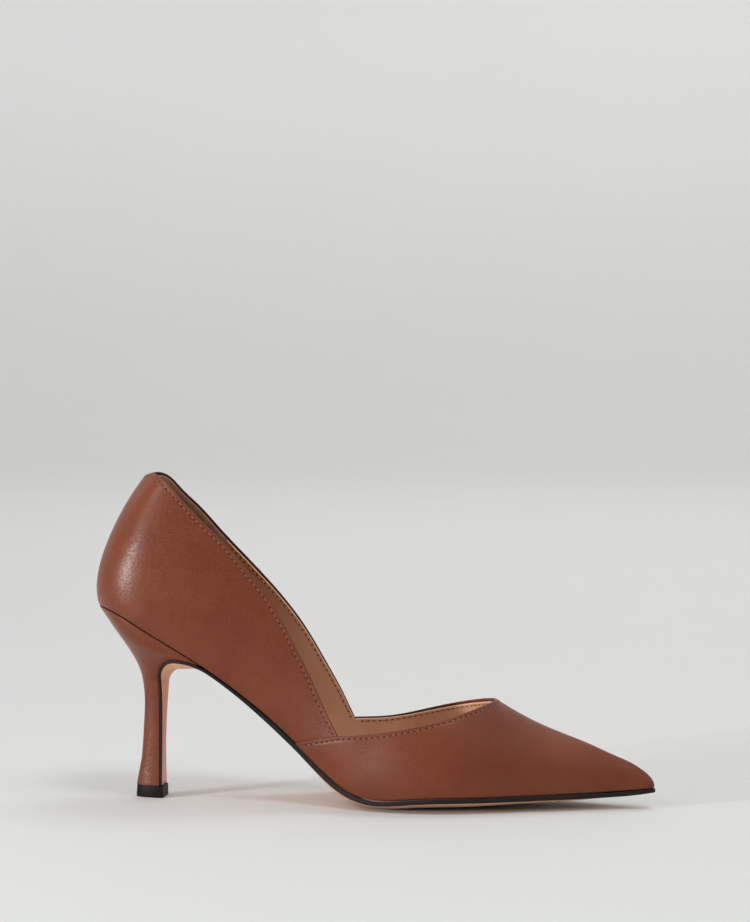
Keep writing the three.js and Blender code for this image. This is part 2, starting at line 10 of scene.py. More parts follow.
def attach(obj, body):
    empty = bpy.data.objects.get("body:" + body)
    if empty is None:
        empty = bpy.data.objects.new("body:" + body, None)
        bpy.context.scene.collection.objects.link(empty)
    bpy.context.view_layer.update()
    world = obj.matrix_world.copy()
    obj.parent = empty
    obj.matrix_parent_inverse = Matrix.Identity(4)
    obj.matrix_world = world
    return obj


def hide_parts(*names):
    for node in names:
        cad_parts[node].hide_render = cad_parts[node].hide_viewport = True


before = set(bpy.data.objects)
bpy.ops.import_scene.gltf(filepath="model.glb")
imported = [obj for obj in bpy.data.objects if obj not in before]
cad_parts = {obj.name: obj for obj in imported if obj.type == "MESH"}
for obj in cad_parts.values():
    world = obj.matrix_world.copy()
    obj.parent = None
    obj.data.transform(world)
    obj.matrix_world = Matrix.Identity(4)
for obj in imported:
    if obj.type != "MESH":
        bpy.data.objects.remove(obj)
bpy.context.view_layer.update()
print("frame loaded")

# Camera, floor and lights, in metres

cameraView = {"azimuth": 9, "elevation": 3, "distance": 1.4, "lens": 125.7, "target": (0.1002, 0, 0.1491)}


def aim(obj, target):
    obj.rotation_euler = (Vector(target) - obj.location).to_track_quat("-Z", "Y").to_euler()


def around(azimuth, elevation, distance, target):
    a, e = math.radians(azimuth), math.radians(elevation)
    out = Vector((math.sin(a) * math.cos(e), -math.cos(a) * math.cos(e), math.sin(e)))
    return Vector(target) + out * distance


def addCamera(view):
    data = bpy.data.cameras.new("camera")
    data.lens = view["lens"]
    data.clip_end = 30
    camera = bpy.data.objects.new("camera", data)
    camera.location = around(view["azimuth"], view["elevation"], view["distance"], view["target"])
    aim(camera, view["target"])
    bpy.context.scene.collection.objects.link(camera)
    bpy.context.scene.camera = camera


addCamera(cameraView)

# Shader maths


class Wire:  # one output socket; sums on it add Math nodes
    def __init__(self, tree, socket):
        self.tree = tree
        self.socket = socket

    def join(self, operation, first, second):
        return addNode(self.tree, "ShaderNodeMath", {"operation": operation}, {0: first, 1: second})

    def __add__(self, other):
        return self.join("ADD", self, other)

    def __sub__(self, other):
        return self.join("SUBTRACT", self, other)

    def __rsub__(self, other):
        return self.join("SUBTRACT", other, self)

    def __mul__(self, other):
        return self.join("MULTIPLY", self, other)

    __radd__ = __add__
    __rmul__ = __mul__


def addNode(tree, kind, settings=None, sockets=None, output=0):
    node = tree.nodes.new(kind)
    for name, value in (settings or {}).items():
        if name == "stops":
            for element, (place, colour) in zip(node.color_ramp.elements, value):
                element.position, element.color = place, (*colour, 1)
        else:
            setattr(node, name, value)
    for key, value in (sockets or {}).items():
        if isinstance(value, Wire):
            tree.links.new(value.socket, node.inputs[key])
        else:
            node.inputs[key].default_value = value
    return Wire(tree, node.outputs[output])


class Finish:  # a material with one Principled shader
    def __init__(self, name, **constants):
        self.material = bpy.data.materials.new(name)
        self.material.use_nodes = True
        self.tree = self.material.node_tree
        self.shader = self.tree.nodes["Principled BSDF"]
        for socket, value in constants.items():
            self.shader.inputs[socket.replace("_", " ")].default_value = value
        place = addNode(self.tree, "ShaderNodeTexCoord", output="Object")
        self.place = self.node("ShaderNodeVectorMath", {"operation": "SCALE"}, {0: place, 3: 1000})

    def node(self, kind, settings=None, sockets=None, output=0):
        return addNode(self.tree, kind, settings, sockets, output)

    def stretched(self, scale):
        return self.node("ShaderNodeMapping", {}, {0: self.place, 3: scale})

    def noise(self, scale, detail=2.0, rough=0.5, place=None):
        sockets = {"Vector": place or self.place, "Scale": scale, "Detail": detail, "Roughness": rough}
        return self.node("ShaderNodeTexNoise", {}, sockets)

    def cells(self, scale):
        return self.node("ShaderNodeTexVoronoi", {"feature": "F1"}, {"Vector": self.place, "Scale": scale})

    def ramp(self, factor, low, deep, high, lit):  # two tones and where on the factor they lie
        return self.node("ShaderNodeValToRGB", {"stops": ((low, shade(deep)), (high, shade(lit)))}, {0: factor})

    def between(self, factor, low, high):
        sockets = {0: factor, 1: low, 2: high}
        return self.node("ShaderNodeMapRange", {"interpolation_type": "SMOOTHSTEP"}, sockets)

    def mixed(self, factor, first, second):
        return self.node("ShaderNodeMix", {"data_type": "RGBA"}, {0: factor, 6: first, 7: second}, 2)

    def axis(self, index):  # 0, 1, 2 for x, y, z in mm
        return self.node("ShaderNodeSeparateXYZ", {}, {0: self.place}, index)

    def marks(self, name):
        return self.node("ShaderNodeAttribute", {"attribute_name": name}, {}, "Fac")

    def feed(self, **links):
        for socket, wire in links.items():
            self.tree.links.new(wire.socket, self.shader.inputs[socket.replace("_", " ")])

    def bump(self, *layers):  # each layer is a height and its depth in mm
        normal = None
        for height, depth in layers:
            sockets = {"Height": height, "Distance": depth / 1000, "Strength": 1.0}
            if normal:
                sockets["Normal"] = normal
            normal = self.node("ShaderNodeBump", {}, sockets)
        self.feed(Normal=normal)


def shade(hexCode):
    parts = [int(hexCode[i:i + 2], 16) / 255 for i in (0, 2, 4)]
    return tuple(((p + 0.055) / 1.055) ** 2.4 if p > 0.04 else p / 12.92 for p in parts)


def tint(hexCode):
    return (*shade(hexCode), 1)


edgePaint = {"sole": ("0b0605", "140b08"), "leather": ("331b15", "41241c"), "roughness": 0.7}


def painted(finish, colour, roughness, ground):  # adds the paint of the cut edges where the attribute says so
    wander = finish.noise(1.1, 3.0) * 0.5 - 0.25
    paint = finish.between(finish.marks("paint") + wander, 0.35, 0.55)
    ink = finish.mixed(finish.noise(2.2), *(tint(tone) for tone in edgePaint[ground]))
    finish.feed(Base_Color=finish.mixed(paint, colour, ink))
    finish.feed(Roughness=roughness * (1 - paint) + paint * edgePaint["roughness"])


calf = {"deep": "6a2f18", "lit": "75381f", "roughness": 0.32, "pore": 1.5, "poreDepth": 0.08, "creaseDepth": 0.072}


def calfLeather(name, grain=1.0, dulled=0.0):
    finish = Finish(name, Coat_Weight=0.05, Coat_Roughness=0.28, Specular_IOR_Level=0.3)
    cloud = finish.noise(0.035, 3.0, 0.55)
    fleck = finish.noise(1.7, 4.0, 0.6)
    colour = finish.ramp(cloud * 0.8 + fleck * 0.2, 0.36, calf["deep"], 0.64, calf["lit"])
    pores = finish.between(finish.cells(calf["pore"]), 0.05, 0.45)
    roughness = finish.noise(0.4, 3.0) * 0.12 + pores * -0.05 + (calf["roughness"] + dulled)
    painted(finish, colour, roughness, "leather")
    wrinkle = finish.noise(0.55, 5.0, 0.62, finish.stretched((1.0, 1.0, 1.7)))
    finish.bump((finish.noise(0.05, 2.0), 0.5), (wrinkle, calf["creaseDepth"] * grain),
                (pores, calf["poreDepth"] * grain), (finish.noise(9, 3.0), 0.012 * grain))
    return finish.material


# shadedFrom and shadedTo, in mm along, are where the lining's painted shade at the back fades into its painted
# lighter tone near the V
lamb = {"rawEdge": "e8b896", "roughness": 0.56, "shadedFrom": 25, "shadedTo": 112}


def liningLeather(name, deep, lit, shaded):  # shaded is the painted shade at the heel's end; towards the V the lining keeps its lighter tones, painted light where light falls in
    finish = Finish(name, IOR=1.45)
    cloud = finish.noise(0.05, 3.0)
    colour = finish.ramp(cloud * 0.7 + finish.noise(2.5, 3.0) * 0.3, 0.35, deep, 0.65, lit)
    # painted shade and light: darker towards the heel's end, lighter towards the V
    ahead = finish.between(finish.axis(0), lamb["shadedFrom"], lamb["shadedTo"])
    colour = finish.mixed(ahead, tint(shaded), colour)
    rawEdge = finish.between(finish.marks("paint"), 0.2, 0.7)
    finish.feed(Base_Color=finish.mixed(rawEdge, colour, tint(lamb["rawEdge"])))
    finish.feed(Roughness=finish.noise(0.8) * 0.14 + lamb["roughness"])
    pores = finish.between(finish.cells(3.4), 0.05, 0.5)
    finish.bump((pores, 0.015), (finish.noise(7, 3.0), 0.012))
    return finish.material


def suede(name, deep, lit):
    finish = Finish(name, Sheen_Weight=0.25, Sheen_Roughness=0.5, Specular_IOR_Level=0.2)
    nap = finish.noise(3.0, 5.0, 0.7, finish.stretched((1.6, 1.6, 0.7)))
    finish.feed(Base_Color=finish.ramp(nap * 0.6 + finish.noise(0.25, 3.0) * 0.4, 0.36, deep, 0.66, lit))
    finish.feed(Roughness=finish.noise(1.2) * 0.1 + 0.84)
    finish.bump((nap, 0.12), (finish.noise(11, 2.0), 0.05))
    return finish.material


def soleLeather(name, deep, lit):
    finish = Finish(name, Specular_IOR_Level=0.35)
    fibre = finish.noise(0.9, 5.0, 0.62, finish.stretched((0.25, 1.0, 1.0)))
    colour = finish.ramp(fibre * 0.5 + finish.noise(0.06, 3.0) * 0.5, 0.34, deep, 0.68, lit)
    painted(finish, colour, finish.noise(0.5, 3.0) * 0.16 + 0.4, "sole")
    finish.bump((fibre, 0.05), (finish.noise(6, 4.0), 0.02))
    return finish.material


def tipRubber(name, deep, lit):
    finish = Finish(name, Specular_IOR_Level=0.12)
    dust = finish.noise(1.6, 4.0)
    finish.feed(Base_Color=finish.ramp(dust, 0.35, deep, 0.7, lit))
    finish.feed(Roughness=dust * 0.2 + 0.38)
    finish.bump((finish.noise(5, 3.0), 0.03), (finish.noise(0.4), 0.08))
    return finish.material


def threadFinish(name, deep, lit, roughness):
    finish = Finish(name, IOR=1.45)
    strand = finish.noise(4.0, 3.0)
    finish.feed(Base_Color=finish.ramp(strand, 0.35, deep, 0.65, lit))
    finish.feed(Roughness=strand * 0.15 + roughness)
    finish.bump((strand, 0.05))
    return finish.material


def paleFloor(name):  # a little paler up the wall
    finish = Finish(name, Specular_IOR_Level=0.2)
    climb = finish.between(finish.axis(2), 0, 700)
    cloud = finish.noise(0.004, 2.0)
    tone = finish.mixed(climb, (0.71, 0.715, 0.705, 1), (0.87, 0.875, 0.865, 1))
    finish.feed(Base_Color=finish.mixed(cloud * 0.06, tone, (0.5, 0.5, 0.49, 1)))
    finish.feed(Roughness=cloud * 0.1 + 0.6)
    return finish.material


finishes = {
    "quarter": calfLeather("quarterCalf"),
    "vamp": calfLeather("vampCalf", dulled=0.08),
    "heel": calfLeather("heelCalf", grain=1.5),
    # the third tone of the lining and the sock is their painted shade at the heel's end
    "lining": liningLeather("tanLining", "daa889", "ecbe9f", "a86843"),
    "sock": liningLeather("sockLeather", "a87a60", "c09078", "8d5f47"),
    "grip": suede("gripSuede", "7d5640", "a67a5e"),
    "sole": soleLeather("soleLeather", "cf9574", "e6b391"),
    "tip": tipRubber("tipRubber", "110b09", "1b1210"),
    "thread": threadFinish("brownThread", "7a4632", "9a634b", 0.55),
    "innerThread": threadFinish("tanThread", "a5765a", "c2947a", 0.6),
    # painted shade: near-black beads stand for the shadow in the needle holes
    "holeShade": threadFinish("needleHoleShade", "1b0c08", "2a140d", 0.95),
    "floor": paleFloor("paleFloor"),
}
print("finishes ready")

# The last, in millimetres, with x from the back of the seat

last = {
    "length": 244.6, "ballWidth": 70, "seatWidth": 47, "seatEnd": 0.1, "ballStart": 0.5, "seatHeight": 85.5,
    "toeSpring": 3.6, "camber": 4.4, "squash": 0.66, "throatHeight": 39.2, "crownFullness": 3,
}
originShift = 22.35  # from the back of the seat to the middle of the heel tip

bottomColumns = ("along", "inner", "outer", "rise", "spring", "camber")
bottomRows = (
    (0, 0, 0, 1, 0, 0),
    (0.011, 0.223, 0.229, 0.996, 0, 0.1),
    (0.04, 0.399, 0.41, 0.974, 0, 0.3),
    (0.103, 0.491, 0.509, 0.872, 0, 0.45),
    (0.197, 0.417, 0.464, 0.696, 0, 0.25),
    (0.296, 0.284, 0.376, 0.467, 0, 0.2),
    (0.386, 0.267, 0.389, 0.225, 0, 0.5),
    (0.444, 0.32, 0.442, 0.071, 0, 0.8),
    (0.501, 0.4, 0.5, 0, 0, 0.85),
    (0.583, 0.471, 0.529, 0, 0.26, 1),
    (0.678, 0.436, 0.464, 0, 0.5, 0.95),
    (0.78, 0.304, 0.319, 0, 0.53, 0.6),
    (0.883, 0.169, 0.177, 0, 0.64, 0.3),
    (0.961, 0.074, 0.079, 0, 0.83, 0),
    (0.992, 0.037, 0.039, 0, 0.97, 0),
    (1, 0, 0, 0, 1, 0),
)
wallColumns = ("ridgeAlong", "crown", "leanInner", "leanOuter", "wallPull", "crownPull")
wallRows = (
    (0.258, 2.1, 18, 18, 0.27, 0.6),
    (0.262, 2.11, 18, 18, 0.27, 0.6),
    (0.275, 2.16, 18, 18, 0.27, 0.6),
    (0.304, 2.32, 17, 17, 0.27, 0.58),
    (0.37, 2.42, 22, 18, 0.26, 0.55),
    (0.444, 2.42, 34, 22, 0.24, 0.53),
    (0.509, 2.15, 32, 20, 0.26, 0.53),
    (0.545, 2.05, 24, 18, 0.3, 0.53),
    (0.582, 1.8, 18, 16, 0.35, 0.54),
    (0.63, 1.41, 12, 13, 0.45, 0.55),
    (0.686, 1.118, 10, 11, 0.5, 0.56),
    (0.78, 0.772, 9, 10, 0.52, 0.57),
    (0.875, 0.528, 8, 8, 0.52, 0.57),
    (0.936, 0.349, 7, 7, 0.45, 0.56),
    (0.961, 0.267, 6, 6, 0.4, 0.55),
    (0.967, 0.242, 5, 5, 0.4, 0.55),
)


def mix(a, b, share):
    return a + (b - a) * share


def smooth(share):
    s = np.clip(share, 0, 1)
    return s * s * (3 - 2 * s)


def points(x, y, z):
    return np.stack(np.broadcast_arrays(x, y, z), axis=-1).astype(float)


def unit(vectors):
    return vectors / np.maximum(np.linalg.norm(vectors, axis=-1, keepdims=True), 1e-12)


def spline(knots, values, level):  # level makes it leave and arrive without slope
    knots, values = np.asarray(knots, float), np.asarray(values, float)
    count, step = len(knots), np.diff(knots)
    slope = np.diff(values) / step
    rows, right = np.zeros((count, count)), np.zeros(count)
    for i in range(1, count - 1):
        rows[i, i - 1:i + 2] = step[i - 1], 2 * (step[i - 1] + step[i]), step[i]
        right[i] = 6 * (slope[i] - slope[i - 1])
    rows[0, 0] = rows[-1, -1] = 1
    if level:
        rows[0, :2] = 2 * step[0], step[0]
        rows[-1, -2:] = step[-1], 2 * step[-1]
        right[0], right[-1] = 6 * slope[0], -6 * slope[-1]
    bend = np.linalg.solve(rows, right)

    def curve(at):
        at = np.asarray(at, float)
        i = np.clip(np.searchsorted(knots, at) - 1, 0, count - 2)
        a = (knots[i + 1] - at) / step[i]
        b = 1 - a
        pull = ((a ** 3 - a) * bend[i] + (b ** 3 - b) * bend[i + 1]) * step[i] ** 2 / 6
        return a * values[i] + b * values[i + 1] + pull

    return curve


def reach(rising, wanted, low, high):  # where a rising function gets to the wanted value
    wanted = np.asarray(wanted, float)
    low, high = (np.broadcast_to(np.asarray(end, float), wanted.shape).copy() for end in (low, high))
    for _ in range(40):
        middle = (low + high) / 2
        short = rising(middle) < wanted
        low, high = np.where(short, middle, low), np.where(short, high, middle)
    return (low + high) / 2


def localWidth(share):
    ahead = (share - last["seatEnd"]) / (last["ballStart"] - last["seatEnd"])
    return mix(last["seatWidth"], last["ballWidth"], smooth(ahead))


table = {name: np.array([row[i] for row in bottomRows], float) for i, name in enumerate(bottomColumns)}
table.update({name: np.array([row[i] for row in wallRows], float) for i, name in enumerate(wallColumns)})
outlineX = table["along"] * last["length"]
outlineY = (table["inner"] + table["outer"]) / 2 * localWidth(table["along"])
run = np.concatenate([[0], np.cumsum(np.hypot(np.diff(outlineX), np.diff(outlineY)))])
shape = {name: spline(run / run[-1], values, name not in ("inner", "outer")) for name, values in table.items()}
sideName = {-1: "inner", 1: "outer"}
lean = {-1: shape["leanInner"], 1: shape["leanOuter"]}

upper = {
    "wall": 1.8, "counterHeight": 56.4, "vampLength": 68.8, "sideCutReach": 134.5, "sideCutLag": 1.8,
    "sideHeight": 21.35, "wingReach": 20, "wingStep": 0.9, "wingFade": 18,
}
sole = {
    "clearance": 0.3, "thickness": 2.0, "margin": 0.2, "insole": 2.2, "waistFade": 35, "insoleSetback": 9,
    "flap": 1.1, "flapCrown": 4.2,
}
heel = {
    "breastReach": 27.2, "archRadius": 10.6, "wedgeDepth": 4.9, "wedgeEdge": 0.9, "archRun": 16.1,
    "shaftWidth": 8.0, "shaftDepth": 7.4, "tipHeight": 5.4, "tipLength": 13.1, "tipWidth": 10.8,
    "tipFlare": 0.35, "tipLip": 0.6,
}
ballHeight = sole["thickness"] + sole["clearance"] + 0.85 * last["camber"] - last["squash"]


def alongAt(u):
    return shape["along"](u) * last["length"]


def feather(side, u):
    half = np.maximum(0, shape[sideName[side]](u)) * localWidth(shape["along"](u))
    climb = shape["rise"](u) * (last["seatHeight"] - ballHeight)
    return points(alongAt(u), side * half, ballHeight + climb + shape["spring"](u) * last["toeSpring"])


def ridge(u):
    top = feather(-1, u)[..., 2] + shape["crown"](u) * last["throatHeight"]
    return points(shape["ridgeAlong"](u) * last["length"], 0, top)


nudge = 0.004  # of the way round the last, for slopes
hair = 1e-9  # stations closer than this are one


def nearStep(u):  # a nudge that stays between the last's two ends
    return np.maximum(np.minimum(nudge, np.minimum(u, 1 - u)), 1e-6)


def atEnds(u):
    return ((u <= hair) | (u >= 1 - hair))[..., None]


def ridgeSlope(u):
    at = np.clip(u, nudge, 1 - 2 * nudge)
    change = ridge(at + nudge) - ridge(at - nudge)
    return change[..., 2] / change[..., 0]


def outward(side, u):  # level direction out from the feather edge
    u = np.asarray(u, float)
    near = nearStep(u)
    change = feather(side, np.clip(u + near, 0, 1)) - feather(side, np.clip(u - near, 0, 1))
    out = unit(points(-change[..., 1], change[..., 0], 0) * side)
    return np.where(atEnds(u), points(np.where(u <= 0, -1.0, 1.0), 0, 0), out)


def lastPoint(side, u, up):  # up is 0 at the feather edge and 1 on the ridge
    u, up = np.broadcast_arrays(np.asarray(u, float), np.asarray(up, float))
    foot, top = feather(side, u), ridge(u)
    tilt = np.radians(lean[side](u))
    pull = shape["wallPull"](u) * (top[..., 2] - foot[..., 2])
    wall = foot + outward(side, u) * (pull * np.sin(tilt))[..., None]
    wall[..., 2] += pull * np.cos(tilt)
    across = points(foot[..., 0] - top[..., 0], foot[..., 1], ridgeSlope(u) * (foot[..., 0] - top[..., 0]))
    crown = top + across * shape["crownPull"](u)[..., None]
    t = up[..., None]
    s = 1 - t
    return foot * s ** 3 + wall * 3 * s * s * t + crown * 3 * s * t * t + top * t ** 3


def lastNormal(side, u, up):
    u, up = np.broadcast_arrays(np.asarray(u, float), np.asarray(up, float))
    rising = lastPoint(side, u, np.minimum(1, up + nudge)) - lastPoint(side, u, np.maximum(0, up - nudge))
    near = nearStep(u)
    forwards = lastPoint(side, np.minimum(1, u + near), up) - lastPoint(side, np.maximum(0, u - near), up)
    normal = unit(np.cross(forwards, rising) * -side)
    facing = np.where(u <= hair, -1.0, 1.0)
    normal = np.where(atEnds(u), unit(points(facing * rising[..., 2], 0, -facing * rising[..., 0])), normal)
    return np.where((up >= 1 - hair)[..., None], unit(points(-ridgeSlope(u), 0, 1)), normal)


def onLast(side, u, up):
    return lastPoint(side, u, up), lastNormal(side, u, up)


stationTable = np.linspace(0, 1, 6001)
alongTable = alongAt(stationTable)


def stationAt(x):
    return np.interp(x, alongTable, stationTable)


def bottomLine(x):  # height, slope and camber of the bottom in side view
    u, back, front = stationAt(x), stationAt(x - 1), stationAt(x + 1)
    climb = feather(-1, front)[..., 2] - feather(-1, back)[..., 2]
    slope = climb / np.maximum(alongAt(front) - alongAt(back), 1e-6)
    return feather(-1, u)[..., 2], slope, shape["camber"](u) * last["camber"]


def bottomPoint(x, y, across, offset):
    height, slope, camber = bottomLine(np.asarray(x, float))
    off = offset - camber * (1 - np.abs(across) ** last["crownFullness"])
    square = np.hypot(1, slope)
    return points(x - off * slope / square, y, height + off / square)


# Where the collar and the wing's seam cut the last

sides = (-1, 1)
cutAlong = {-1: last["length"] - upper["sideCutReach"]}
cutAlong[1] = cutAlong[-1] - upper["sideCutLag"]
throatAlong = last["length"] - upper["vampLength"]
throatStation = float(reach(lambda u: shape["ridgeAlong"](u) * last["length"], throatAlong, 0, 1))
throatTop = float(ridge(throatStation)[2])
cutHeight = {side: float(bottomLine(cutAlong[side])[0]) + upper["sideHeight"] for side in sides}
backHeight = last["seatHeight"] + upper["counterHeight"]
backUp = float(reach(lambda up: lastPoint(-1, 0.0, up)[..., 2], backHeight, 0, 1))
backAlong = float(lastPoint(-1, 0.0, backUp)[0])
collarKnots = (0, 0.06, 0.13, 0.22, 0.33, 0.45, 0.57, 0.68, 0.78, 0.87, 0.94, 1)
collarDrop = {
    -1: spline(collarKnots, (0, -0.013, 0.011, 0.08, 0.171, 0.266, 0.382, 0.5, 0.651, 0.794, 0.913, 1), False),
    1: spline(collarKnots, (0, -0.008, 0.055, 0.129, 0.226, 0.326, 0.426, 0.528, 0.643, 0.774, 0.886, 1), False),
}
throatKnots = (0, 0.25, 0.5, 0.75, 1)
throatRise = {
    -1: spline(throatKnots, (0, 0.138, 0.35, 0.638, 1), False),
    1: spline(throatKnots, (0, 0.07, 0.358, 0.692, 1), False),
}


def collarHeight(side, x):
    cut = cutAlong[side]
    behind = collarDrop[side](np.clip((x - backAlong) / (cut - backAlong), 0, 1))
    front = throatRise[side](np.clip((x - cut) / (throatAlong - cut), 0, 1))
    return np.where(x <= cut, mix(backHeight, cutHeight[side], behind), mix(cutHeight[side], throatTop, front))


def collarUp(side, u):
    def above(up):
        p = lastPoint(side, u, up)
        return p[..., 2] - collarHeight(side, p[..., 0])

    found = reach(above, np.zeros(np.shape(u)), 0, 1)
    return np.where(np.asarray(u) >= throatStation - hair, 1.0, found)


def collarStation(side, x, end, steps):  # where the collar passes x
    fine = np.linspace(0, end, steps)
    return float(np.interp(x, lastPoint(side, fine, collarUp(side, fine))[:, 0], fine))


wingAlong = {side: cutAlong[side] - upper["wingReach"] for side in sides}
wingHeight = {side: float(bottomLine(wingAlong[side])[0]) for side in sides}
wingStation = {side: float(stationAt(wingAlong[side])) for side in sides}
cutStation = {side: collarStation(side, cutAlong[side], throatStation, 1500) for side in sides}


def seamHeight(side, x):
    return mix(wingHeight[side], cutHeight[side], (x - wingAlong[side]) / (cutAlong[side] - wingAlong[side]))


def seamUp(side, u):
    def above(up):
        p = lastPoint(side, u, up)
        return p[..., 2] - seamHeight(side, p[..., 0])

    top = collarUp(side, u)
    found = np.minimum(reach(above, np.zeros(np.shape(u)), 0, 1), top)
    return np.where(u <= wingStation[side] + hair, 0.0, np.where(u >= cutStation[side], top, found))


def stepAt(side, p):  # how far the vamp stands over the quarter's face
    ahead = np.maximum(0, p[..., 0] - cutAlong[side])
    below = np.maximum(0, seamHeight(side, np.minimum(p[..., 0], cutAlong[side])) - p[..., 2])
    return upper["wingStep"] * (1 - smooth(np.hypot(ahead, below) / upper["wingFade"]))


def loweredHeight(side, x, drop):  # the collar's line moved down the wall, going straight on past the throat
    x, step = np.minimum(x, throatAlong), 0.8
    rise = collarHeight(side, x + step) - collarHeight(side, x - step)
    slope = rise / np.where(x > throatAlong - step, step, 2 * step)
    return collarHeight(side, x) - drop * np.hypot(1, slope), slope


def loweredUp(side, u, dropAt):
    def above(up):
        p = lastPoint(side, u, up)
        height, slope = loweredHeight(side, p[..., 0], dropAt(p[..., 0]))
        return p[..., 2] - height - slope * np.maximum(0, p[..., 0] - throatAlong)

    return reach(above, np.zeros(np.shape(u)), 0, 1)


# Meshes from grids of points

pieces = {}


meshing = {"sharp": 50, "weld": 2e-6}  # degrees, metres


def gridObject(name, grids):  # each grid of points has its marks for the paint attribute
    verts, faces, paint = [], [], []
    count = 0
    for grid, marks in grids:
        n, m = grid.shape[:2]
        verts.append(grid.reshape(-1, 3))
        paint.append(np.broadcast_to(np.asarray(marks, float), (n, m)).reshape(-1))
        index = count + np.arange(n * m).reshape(n, m)
        corner = (index[:-1, :-1], index[1:, :-1], index[1:, 1:], index[:-1, 1:])
        faces.append(np.stack(corner, axis=-1).reshape(-1, 4))
        count += n * m
    co = np.concatenate(verts)
    co[:, 0] -= originShift
    mesh = bpy.data.meshes.new(name)
    mesh.from_pydata((co / 1000).tolist(), [], np.concatenate(faces).tolist())
    mesh.attributes.new("paint", "FLOAT", "POINT").data.foreach_set("value", np.concatenate(paint))
    bm = bmesh.new()
    bm.from_mesh(mesh)
    bmesh.ops.remove_doubles(bm, verts=bm.verts, dist=meshing["weld"])
    bmesh.ops.dissolve_degenerate(bm, edges=bm.edges, dist=1e-7)
    bmesh.ops.recalc_face_normals(bm, faces=bm.faces)
    for face in bm.faces:
        face.smooth = True
    for edge in bm.edges:
        edge.smooth = edge.calc_face_angle(0) < math.radians(meshing["sharp"])
    loose = sum(not edge.is_manifold for edge in bm.edges)
    bm.to_mesh(mesh)
    bm.free()
    obj = bpy.data.objects.new(name, mesh)
    bpy.context.scene.collection.objects.link(obj)
    print(f"{name}: {len(mesh.polygons)} faces, {loose} open edges")
    return obj


def addPiece(name, grids, finish, slot, *replaced):
    finishPiece(gridObject(name, grids), finish, replaced)


def finishPiece(obj, finish, replaced=()):
    obj.data.materials.clear()
    obj.data.materials.append(finishes[finish])
    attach(obj, "root")
    if replaced:
        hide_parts(*replaced)
    pieces[obj.name] = obj


# Rows of a wall, as shares of up: at set distances below the top and above the foot, and even between


def rowsDown(side, u, top, near, foot, middle):
    near, foot = np.asarray(near, float), np.asarray(foot, float)
    ups = np.linspace(0, 1, 61)[None, :] * top[:, None]
    wall = lastPoint(side, u[:, None], ups)
    gone = np.linalg.norm(np.diff(wall, axis=1), axis=-1)
    climb = np.concatenate([np.zeros((len(u), 1)), np.cumsum(gone, axis=1)], axis=1)
    found, heights = [], []
    for i in range(len(u)):
        total = climb[i, -1]
        squeeze = min(1.0, total / (near[-1] + foot[-1] + 3))
        low, high = foot * squeeze, total - near[::-1] * squeeze
        between = np.linspace(low[-1], high[0], middle + 2)[1:-1]
        wanted = np.concatenate([low, between, high])
        found.append(np.interp(wanted, climb[i], ups[i]) if total > 1e-6 else np.zeros(len(wanted)))
        heights.append(wanted)
    return np.array(found), np.array(heights)


def rim(side, outer, inner, bulge, start=None, end=None, steps=6):  # the rounded edge along the top of a wall
    way = unit(np.gradient(outer, axis=0))
    if start is not None:
        way[0] = start
    if end is not None:
        way[-1] = end
    across = outer - inner
    off = np.cross(unit(across), way) * -side
    angle = np.linspace(0, np.pi, steps + 1)
    half = (across / 2)[:, None, :] * np.cos(angle)[None, :, None]
    lift = off[:, None, :] * (bulge * np.sin(angle))[None, :, None]
    return ((outer + inner) / 2)[:, None, :] + half + lift


def strip(first, second, steps=1):
    t = np.linspace(0, 1, steps + 1)[None, :, None]
    return first[:, None, :] * (1 - t) + second[:, None, :] * t


def fan(ring, centre, steps=1):
    return strip(ring, np.broadcast_to(centre, ring.shape), steps), 0


def wallGrids(outer, inner, top, innerMarks=0, topMarks=0, ended=True, fanned=False):
    grids = [(outer, 0), (inner, innerMarks), (top, topMarks), (strip(outer[:, 0], inner[:, 0]), 0)]
    if ended:
        grids.append((strip(outer[-1], inner[-1]), 0))
    if fanned:
        grids.append(fan(top[-1], (outer[-1, -1] + inner[-1, -1]) / 2))
    return grids


def eased(count, power):  # from 0 to 1, closer together towards 1
    return 1 - (1 - np.linspace(0, 1, count)) ** power


def joined(*parts):
    return np.concatenate([np.atleast_1d(np.asarray(part, float)) for part in parts])


def edgeLine(side, first, final, count, up):
    u = np.linspace(first, final, count)
    return lastPoint(side, u, up(side, u))


def distanceTo(line, p):
    flat = p.reshape(-1, 3)
    far = np.empty(len(flat))
    for i in range(0, len(flat), 2000):
        far[i:i + 2000] = np.sqrt(((flat[i:i + 2000, None, :] - line[None, :, :]) ** 2).sum(-1)).min(1)
    return far.reshape(p.shape[:-1])


# Upper leathers

leatherCut = {
    "thickness": 1.0,
    "edgeBulge": 0.32,
    "lap": 0.86,  # leather of the wing that lies on the quarter
    "stitchInset": 1.4,
    "trough": 0.13,
    "troughWidth": 0.42,
    "footRound": 1.1,
    "footTurn": 0.4,
    "paintReach": 2.1,  # how far the edge paint runs down the leather's inner face
    "rimPaint": (0, 0, 0, 0.3, 1, 1, 1),
    "topRows": (0, 0.12, 0.3, 0.55, 0.85, 1.1, 1.4, 1.7, 2.0, 2.5, 3.2),
    "footRows": (0, 0.12, 0.3, 0.6, 1.0, 1.6),
    "middleRows": 34,
}
midPlane = np.array((0, 1, 0))
collarLines = {side: edgeLine(side, 0, throatStation, 500, collarUp) for side in sides}
seamLines = {side: edgeLine(side, wingStation[side], cutStation[side], 120, seamUp) for side in sides}
frontCollar = {side: edgeLine(side, cutStation[side], throatStation, 400, collarUp) for side in sides}
vampEdge = np.concatenate([seamLines[-1], frontCollar[-1], frontCollar[1][::-1], seamLines[1][::-1]])
quarterEdge = {side: collarLines[side][collarLines[side][:, 0] <= cutAlong[side] + 1] for side in sides}
wholeCollar = np.concatenate([collarLines[-1], collarLines[1]])


